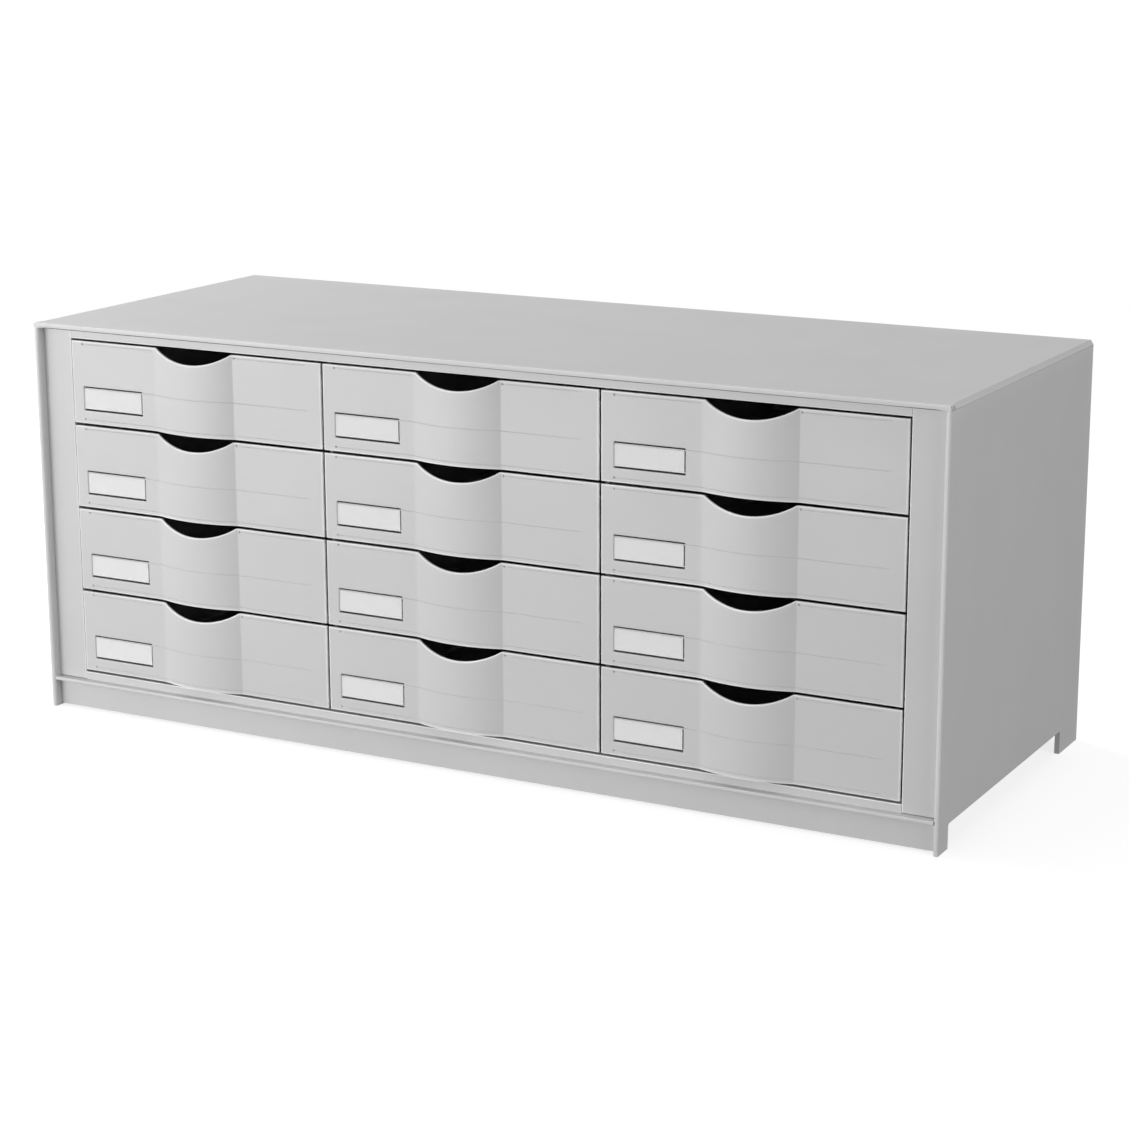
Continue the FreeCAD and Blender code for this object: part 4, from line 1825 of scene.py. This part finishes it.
@dataclass(frozen=True)
class DrawerTray:
    """Open tray behind the front, with a rim along its sides and back and two catches.

    Attributes:
        half: Half its width over the walls.
        bottom: Height of its underside above the lower edge of the front.
        top: Height of its rim.
        wall: Thickness of walls and floor.
        corner: Radius of its rear corners.
        rim: How far the rim stands out.
        rim_wall: Thickness of the rim.
        fillet: Radius between walls and floor.
        edge: Radius of its free edges.
        catch: Length, height and reach of a catch.
        catch_top: Top of a catch, above the lower edge of the front.
        catch_rub_and_highlight: How much rubbing and painted highlight a catch gets.
        step: Largest spacing of the stations along the walls.
        corner_steps: Steps round a rear corner.
        wear_and_highlight_amount: How much rubbing and painted highlight its rounded edges get.
        floor_reach: Share of the bow's half width that its floor spans.
        floor_lap: How far that floor reaches into the front's skin, and past its inner face.
        floor_places: How many places across draw it.
    """

    half: float = 126.0 * MM
    bottom: float = 3.0 * MM
    top: float = 62.0 * MM
    wall: float = 2.0 * MM
    corner: float = 10.0 * MM
    rim: float = 3.5 * MM
    rim_wall: float = 2.0 * MM
    fillet: float = 2.0 * MM
    edge: float = 0.5 * MM
    catch: tuple[float, float, float] = (6.0 * MM, 4.5 * MM, 3.0 * MM)
    catch_top: float = 56.6 * MM
    catch_rub_and_highlight: float = 0.3
    step: float = 60.0 * MM
    corner_steps: int = 8
    wear_and_highlight_amount: float = 0.6
    floor_reach: float = 0.93
    floor_lap: Span = (0.4 * MM, 0.6 * MM)
    floor_places: int = 41

    def plan(self, front: float, back: float) -> tuple[Array, Array]:
        """The tray's outer line from the front left, round the back, to the front right.

        Args:
            front: Y of its front ends.
            back: Y of its back.

        Returns:
            Points of the line and the outward direction at each.
        """
        turn = np.linspace(0.0, math.pi / 2.0, self.corner_steps + 1)
        corner_x, corner_y = self.half - self.corner, back - self.corner
        left = grid_lines(front, corner_y - SUPPORT, self.step, [])
        across = grid_lines(SUPPORT - corner_x, corner_x - SUPPORT, self.step, [])
        mirrored = np.array([-1.0, 1.0])
        out_arc = np.stack([-np.cos(turn), np.sin(turn)], -1)
        left_arc = np.array([-corner_x, corner_y]) + self.corner * out_arc
        left_line = np.stack([np.full_like(left, -self.half), left], -1)
        points = [
            left_line,
            left_arc,
            np.stack([across, np.full_like(across, back)], -1),
            left_arc[::-1] * mirrored,
            left_line[::-1] * mirrored,
        ]
        outward = [
            np.tile([-1.0, 0.0], (len(left), 1)),
            out_arc,
            np.tile([0.0, 1.0], (len(across), 1)),
            out_arc[::-1] * mirrored,
            np.tile([1.0, 0.0], (len(left), 1)),
        ]
        return np.concatenate(points), np.concatenate(outward)

    def section(self) -> tuple[Array, Array]:
        """Open outline of the wall: out along the underside, up, round the rim and down inside.

        Returns:
            Points as distance outside the outer wall and height, and the rubbing and painted highlight at
            each.
        """
        rim_under = self.top - self.rim_wall
        floor_top = self.bottom + self.wall
        inset = self.wall + self.fillet
        corners = [
            (-inset, self.bottom),
            (0.0, self.bottom),
            (0.0, rim_under),
            (self.rim, rim_under),
            (self.rim, self.top),
            (-self.wall, self.top),
            (-self.wall, floor_top),
            (-inset - 2.0 * SUPPORT, floor_top),
        ]
        radii = [0.0, self.fillet, self.edge, self.edge, self.edge, self.edge, self.fillet, 0.0]
        return rounded_chain(corners, radii, closed=False)

    def surface(self, front: float, back: float) -> Surface:
        """Builds the tray: the wall's outline carried along its plan, then floor, underside and front.

        Args:
            front: Y of its front ends.
            back: Y of its back.

        Returns:
            The closed surface.
        """
        plan, outward = self.plan(front, back)
        section, wear_and_painted_light = self.section()
        stations, count = len(plan), len(section)
        flat = plan[:, None, :] + outward[:, None, :] * section[None, :, :1]
        height = np.broadcast_to(section[None, :, 1:], (stations, count, 1))
        points = np.concatenate([flat, height], -1).reshape(-1, 3)
        index = np.arange(stations * count).reshape(stations, count)
        quads = np.stack([index[:-1, :-1], index[1:, :-1], index[1:, 1:], index[:-1, 1:]], -1)
        underside = index[::-1, 0].tolist()
        floor = index[:, -1].tolist()
        mouth = index[0, :].tolist() + index[-1, ::-1].tolist()
        faces = quads.reshape(-1, 4).tolist() + [underside, floor, mouth]
        return Surface(points, faces, np.tile(wear_and_painted_light, stations) * self.wear_and_highlight_amount)

    def bow_floor(self, front: DrawerFront, face_y: float) -> Surface:
        """Floor of the hollow bow: rows between the bow's inner skin and the tray.

        Args:
            front: The drawer front.
            face_y: Y of its flat face.

        Returns:
            The closed surface.
        """
        reach = self.floor_reach * front.grip_half
        x = np.linspace(-reach, reach, self.floor_places)
        near = face_y + front.wall - front.bow(x, front.wall) - self.floor_lap[0]
        far = np.full_like(x, face_y + front.wall + self.floor_lap[1])
        height = np.full_like(x, self.bottom + self.wall)
        upper = np.stack([np.stack([x, y, height], -1) for y in (near, far)], 1)
        lower = upper - np.array([0.0, 0.0, self.wall])
        unworn = np.zeros((len(x), 2))
        return closed_sheet(upper, lower, np.ones((len(x) - 1, 1), bool), (unworn, unworn))

    def catches(self, back: float) -> list[Surface]:
        """The two catches near the rear corners, below the rim, set halfway into the walls.

        Args:
            back: Y of the tray's back.

        Returns:
            Their closed surfaces.
        """
        length, height, reach = self.catch
        outer = self.half + reach
        plate = Plate(
            (back - self.corner - length, back - self.corner),
            (self.catch_top - height, self.catch_top),
            reach + 0.5 * self.wall,
            wear_and_highlight_amount=self.catch_rub_and_highlight,
            **all_edges(EdgeRound(self.edge)),
        )
        return [
            plate.surface(lambda u, v, depth, sign=side.value: np.stack([sign * (outer - depth), u, v], -1))
            for side in Side
        ]


@dataclass(frozen=True)
class LabelSheet:
    """The card in a label pocket, or its clear cover: a thin sheet with trimmed corners.

    Attributes:
        stem: Start of its frame node's name.
        slot: The record's slot.
        corner: Radius of its corners in the plan.
        air: Gap left behind the sheet.
        shorter: How far its upper edge stays below that of its node.
        trim: How far its lower edge is cut back.
        edge: Radius of its edges, as a share of its thickness.
        frayed: Width of the strip along its edges marked in the point attribute, which the card's and
            cover's materials don't read.
    """

    stem: str
    slot: str
    corner: float
    air: float = 0.0
    shorter: float = 0.0
    trim: float = 0.25 * MM
    edge: float = 0.3
    frayed: float = 0.4 * MM

    def surface(self, node: str) -> Surface:
        """Builds the sheet inside the box of its frame node.

        Args:
            node: Name of the node.

        Returns:
            The closed surface.
        """
        low, high = node_box(node)
        low[2] += self.trim
        high[2] -= self.shorter
        thickness = high[1] - low[1] - self.air
        skin = EdgeRound(self.edge * thickness, self.edge * thickness)
        u_range, v_range = (low[0], high[0]), (low[2], high[2])
        plate = Plate(
            u_range, v_range, thickness, wear_and_highlight_reach=self.frayed, wear_and_highlight_amount=1.0, **all_edges(skin)
        )
        steps = self.corner * CORNER_STEPS
        return plate.surface(
            lambda u, v, depth: np.stack([u, low[1] + depth, v], -1),
            u_stops=[low[0] + steps, high[0] - steps],
            v_stops=[low[2] + steps, high[2] - steps],
            bend=lambda u, v: round_plan_corners(u, v, u_range, v_range, self.corner),
        )


@dataclass
class Drawer:
    """One drawer with its label.

    Attributes:
        row: Row, 1 at the top.
        column: Stack it belongs to.
        front: Its front.
        tray: Its tray.
        plastic: Material of the moulding.
        labels: The label's sheets, each with its material.
        seat: How far the tray's ends stand inside the front's wall.
    """

    row: int
    column: Column
    front: DrawerFront
    tray: DrawerTray
    plastic: Material
    labels: Sequence[tuple[LabelSheet, Material]]
    seat: float = 0.5 * MM

    @property
    def place_name(self) -> str:
        """Row and column as the node names spell them."""
        return f"row{self.row}_{self.column.value}"

    @property
    def body(self) -> str:
        """The body that carries the drawer."""
        return "drawer_" + self.place_name

    def moulding(self, face_y: float, back: float) -> Surface:
        """Front, tray, bow floor and catches, about the middle of the front and its lower edge.

        Args:
            face_y: Y of the front's flat face.
            back: Y of the tray's back.

        Returns:
            The closed surface.
        """
        parts = [
            self.front.surface(face_y),
            self.tray.surface(face_y + self.front.wall - self.seat, back),
            self.tray.bow_floor(self.front, face_y),
            *self.tray.catches(back),
        ]
        return join_surfaces(parts)

    def build(self, moulding: Surface) -> None:
        """Puts the moulding, the card and its cover in their places.

        Args:
            moulding: The drawer's surface about the middle of its front.
        """
        low, high = node_box(self.body)
        placed = moulding.moved(0.5 * (low[0] + high[0]), 0.0, low[2])
        name = self.body + "_moulding"
        fit_piece(name, placed, self.plastic, "drawer_plastic", self.body, self.body)
        for sheet, finish in self.labels:
            node = sheet.stem + self.place_name
            fit_piece(node + "_sheet", sheet.surface(node), finish, sheet.slot, node, self.body)


def round_plan_corners(
    u: Array, v: Array, u_range: Span, v_range: Span, radius: float
) -> tuple[Array, Array]:
    """Rounds the corners of a rectangular grid in its plan.

    A point in a corner's square is drawn towards the arc's centre so that the square's two outer
    sides land on the arc: its offset is scaled by the larger of its parts over its length.

    Args:
        u: First plan coordinate.
        v: Second plan coordinate.
        u_range: First and last u.
        v_range: First and last v.
        radius: Radius of the corners.

    Returns:
        The moved coordinates.
    """
    new_u, new_v = u.copy(), v.copy()
    for u_edge, u_in in ((u_range[0], 1.0), (u_range[1], -1.0)):
        for v_edge, v_in in ((v_range[0], 1.0), (v_range[1], -1.0)):
            centre_u, centre_v = u_edge + u_in * radius, v_edge + v_in * radius
            du, dv = (centre_u - u) * u_in, (centre_v - v) * v_in
            inside = (du > 0.0) & (dv > 0.0)
            length = np.where(inside, np.hypot(du, dv), 1.0)
            scale = np.where(inside, np.maximum(du, dv) / length, 1.0)
            new_u = np.where(inside, centre_u - u_in * du * scale, new_u)
            new_v = np.where(inside, centre_v - v_in * dv * scale, new_v)
    return new_u, new_v


# ---------------------------------------------------------------------------------------------
# Studio
# ---------------------------------------------------------------------------------------------


@dataclass(frozen=True)
class SoftBox:
    """Soft area light.

    Attributes:
        name: Name of the light.
        place: Where it stands.
        width: Its width.
        height: Its height.
        power: Its power in watts.
        target: What it faces.
    """

    name: str
    place: tuple[float, float, float]
    width: float
    height: float
    power: float
    target: tuple[float, float, float] = (0.0, 0.0, 0.15)

    def add(self) -> Object:
        """Adds the light, turned to face its target.

        Returns:
            The lamp.
        """
        light = bpy.data.lights.new(self.name, "AREA")
        light.shape = "RECTANGLE"
        light.size = self.width
        light.size_y = self.height
        light.energy = self.power
        lamp = bpy.data.objects.new(self.name, light)
        lamp.location = self.place
        way = Vector(self.target) - Vector(self.place)
        lamp.rotation_euler = way.to_track_quat("-Z", "Y").to_euler()
        bpy.context.scene.collection.objects.link(lamp)
        return lamp


@dataclass
class Studio:
    """Pale floor, white surround, soft lights and the camera.

    Attributes:
        table: Material of the floor.
        cloth: Material of the surround.
        floor_radius: Radius of the floor.
        surround_radius: Radius of the surround.
        floor_rings: Rings of points of the floor.
        surround_rings: Rings of points of the surround.
        spokes: Points in a ring.
        eye: Place of the camera.
        azimuth: Turn of the camera about the vertical, in degrees.
        elevation: Height angle of the camera, in degrees.
        roll: Turn of the camera about its own axis, in degrees.
        lens: Focal length in millimetres.
        sensor: Width of the sensor in millimetres.
        sky: Strength of the even fill light.
        lights: The soft boxes.
    """

    table: Material
    cloth: Material
    floor_radius: float = 2.4
    surround_radius: float = 30.0
    floor_rings: int = 13
    surround_rings: int = 33
    spokes: int = 64
    eye: tuple[float, float, float] = (1.1291434, -2.0622481, 0.733829)
    azimuth: float = 28.4366
    elevation: float = 14.058
    roll: float = -0.1831
    lens: float = 87.373
    sensor: float = 36.0
    sky: float = 0.24
    lights: tuple[SoftBox, ...] = (
        SoftBox("top_soft_box", (0.0, 0.4, 2.8), 2.6, 2.6, 20.5),
        SoftBox("top_left_soft_box", (-2.0, 0.5, 2.2), 2.2, 2.2, 50.0),
        SoftBox("right_soft_box", (3.0, -0.8, 1.2), 2.0, 2.0, 37.5),
        SoftBox("front_strip_box", (-1.2, -2.8, 0.35), 2.0, 0.6, 30.5),
        SoftBox("front_left_strip_box", (-2.2, -2.2, 0.35), 2.0, 0.6, 30.0),
        SoftBox("left_strip_box", (-2.9, -0.9, 0.45), 1.6, 0.7, 16.0),
    )

    def build(self) -> None:
        """Adds the floor, the surround, the lights and the camera."""
        self.add_floor()
        self.add_surround()
        for light in self.lights:
            light.add()
        self.add_camera()

    def add_stage(self, name: str, points: Array, finish: Material, unseen_by: Sequence[str]) -> Object:
        """Adds a round grid of points as a stage object.

        Args:
            name: Name of the object.
            points: Rings of points, rings by places by 3; the last place runs on to the first.
            finish: Its material.
            unseen_by: Kinds of light ray that pass it by.

        Returns:
            The new object.
        """
        rings, places = points.shape[:2]
        index = np.arange(rings * places).reshape(rings, places)
        after = np.roll(index, -1, axis=1)
        quads = np.stack([index[:-1], after[:-1], after[1:], index[1:]], -1).reshape(-1, 4)
        mesh = bpy.data.meshes.new(name)
        mesh.from_pydata(points.reshape(-1, 3).tolist(), [], quads.tolist())
        mesh.polygons.foreach_set("use_smooth", np.ones(len(mesh.polygons), bool))
        mesh.materials.append(finish)
        stage = bpy.data.objects.new(name, mesh)
        bpy.context.scene.collection.objects.link(stage)
        for ray in unseen_by:
            setattr(stage, "visible_" + ray, False)
        return stage

    def add_floor(self) -> Object:
        """Adds the floor, a flat disc at the height of the feet: radius times cosine and sine.

        It throws no light back, so that the fronts stay darker towards the bottom.

        Returns:
            The floor.
        """
        radii = np.linspace(1.0 * MM, self.floor_radius, self.floor_rings)
        turns = np.linspace(2.0 * math.pi, 0.0, self.spokes, endpoint=False)
        radius, turn = np.meshgrid(radii, turns, indexing="ij")
        points = np.stack([radius * np.cos(turn), radius * np.sin(turn), np.zeros_like(turn)], -1)
        return self.add_stage("table_ground", points, self.table, ("diffuse", "glossy"))

    def add_surround(self) -> Object:
        """Adds the even fill light, and the surround that only the camera sees.

        The surround is a sphere: radius times the cosine of the height angle, and its sine.

        Returns:
            The surround.
        """
        world = bpy.data.worlds.new("even_fill")
        world.use_nodes = True
        background = world.node_tree.nodes["Background"]
        background.inputs["Color"].default_value = WHITE
        background.inputs["Strength"].default_value = self.sky
        bpy.context.scene.world = world
        pole = 0.499 * math.pi  # Just short of a right angle, so that the last ring has a size.
        heights = np.linspace(-pole, pole, self.surround_rings)
        turns = np.linspace(0.0, 2.0 * math.pi, self.spokes, endpoint=False)
        height, turn = np.meshgrid(heights, turns, indexing="ij")
        ball = [np.cos(height) * np.cos(turn), np.cos(height) * np.sin(turn), np.sin(height)]
        points = self.surround_radius * np.stack(ball, -1)
        unseen_by = ("diffuse", "glossy", "transmission", "shadow")
        return self.add_stage("white_surround", points, self.cloth, unseen_by)

    def add_camera(self) -> Object:
        """Adds the camera.

        It looks down its own -Z. That axis comes from the azimuth and elevation, its X axis is
        level, and both other axes are then turned by the roll.

        Returns:
            The camera.
        """
        azimuth, elevation, roll = map(math.radians, (self.azimuth, self.elevation, self.roll))
        flat = math.cos(elevation)
        back = Vector((math.sin(azimuth) * flat, -math.cos(azimuth) * flat, math.sin(elevation)))
        level = Vector((0.0, 0.0, 1.0)).cross(back).normalized()
        upright = back.cross(level)
        right = level * math.cos(roll) + upright * math.sin(roll)
        up = upright * math.cos(roll) - level * math.sin(roll)
        turn = Matrix((right, up, back)).transposed()
        camera = bpy.data.cameras.new("camera")
        camera.sensor_width = self.sensor
        camera.lens = self.lens
        view = bpy.data.objects.new("camera", camera)
        view.matrix_world = Matrix.Translation(self.eye) @ turn.to_4x4()
        bpy.context.scene.collection.objects.link(view)
        bpy.context.scene.camera = view
        return view


# ---------------------------------------------------------------------------------------------
# Assembly
# ---------------------------------------------------------------------------------------------


def drawer_front(width: float, height: float) -> DrawerFront:
    """The front that all twelve drawers share.

    Args:
        width: Width of a front.
        height: Height of a front.

    Returns:
        The front with its pocket, moulded lines and gate marks.
    """
    pocket = LabelPocket()
    upper, middle, lower = 71.0 * MM, 32.2 * MM, 3.8 * MM
    left, right, scoop_end, gate = -119.2 * MM, 117.0 * MM, 42.0 * MM, 43.0 * MM
    lines = (
        MouldedLine(upper, (left, -scoop_end)),
        MouldedLine(upper, (scoop_end, right)),
        MouldedLine(middle, (pocket.x[1], right)),
        MouldedLine(lower, (left, right)),
    )
    dimples = (Dimple(left, upper), Dimple(left, lower), Dimple(gate, upper))
    return DrawerFront(width, height, pocket, lines, dimples)


def build_drawers(plastic: Material, card: Material, cover: Material) -> None:
    """Builds the twelve drawers from one moulding.

    Args:
        plastic: Material of the mouldings.
        card: Material of the labels.
        cover: Material of their covers.
    """
    low, high = node_box("drawer_row1_centre")
    face_y = float(node_box("stile_left")[0][1])
    front = drawer_front(high[0] - low[0], high[2] - low[2])
    tray = DrawerTray()
    labels = (
        (LabelSheet("label_card_", "label_card", 0.5 * MM, shorter=1.1 * MM), card),
        (LabelSheet("label_window_", "clear_plastic", 0.9 * MM, air=0.1 * MM), cover),
    )
    drawers = [
        Drawer(row, column, front, tray, plastic, labels) for row in range(1, ROWS + 1) for column in Column
    ]
    moulding = drawers[0].moulding(face_y, high[1] - tray.rim)
    for drawer in drawers:
        drawer.build(moulding)


def main() -> None:
    """Loads the frame and builds the looks round it."""
    logging.basicConfig(level=logging.INFO, format="%(name)s: %(message)s")
    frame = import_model()
    cabinet = MouldedPolystyrene("satin_polystyrene_cabinet", "#CCCCCC").material()
    drawers = MouldedPolystyrene("satin_polystyrene_drawer", "#CCCCCC").material()
    CabinetShell(cabinet).build()
    FaceFrame(cabinet).build()
    RunnerWalls(cabinet, frame["nodes"]).build()
    build_drawers(drawers, CardStock().material(), ClearSheet().material())
    Studio(LightTable().material(), WhiteSurround().material()).build()
    bpy.context.scene.view_settings.view_transform = "Standard"


if __name__ == "__main__":
    main()
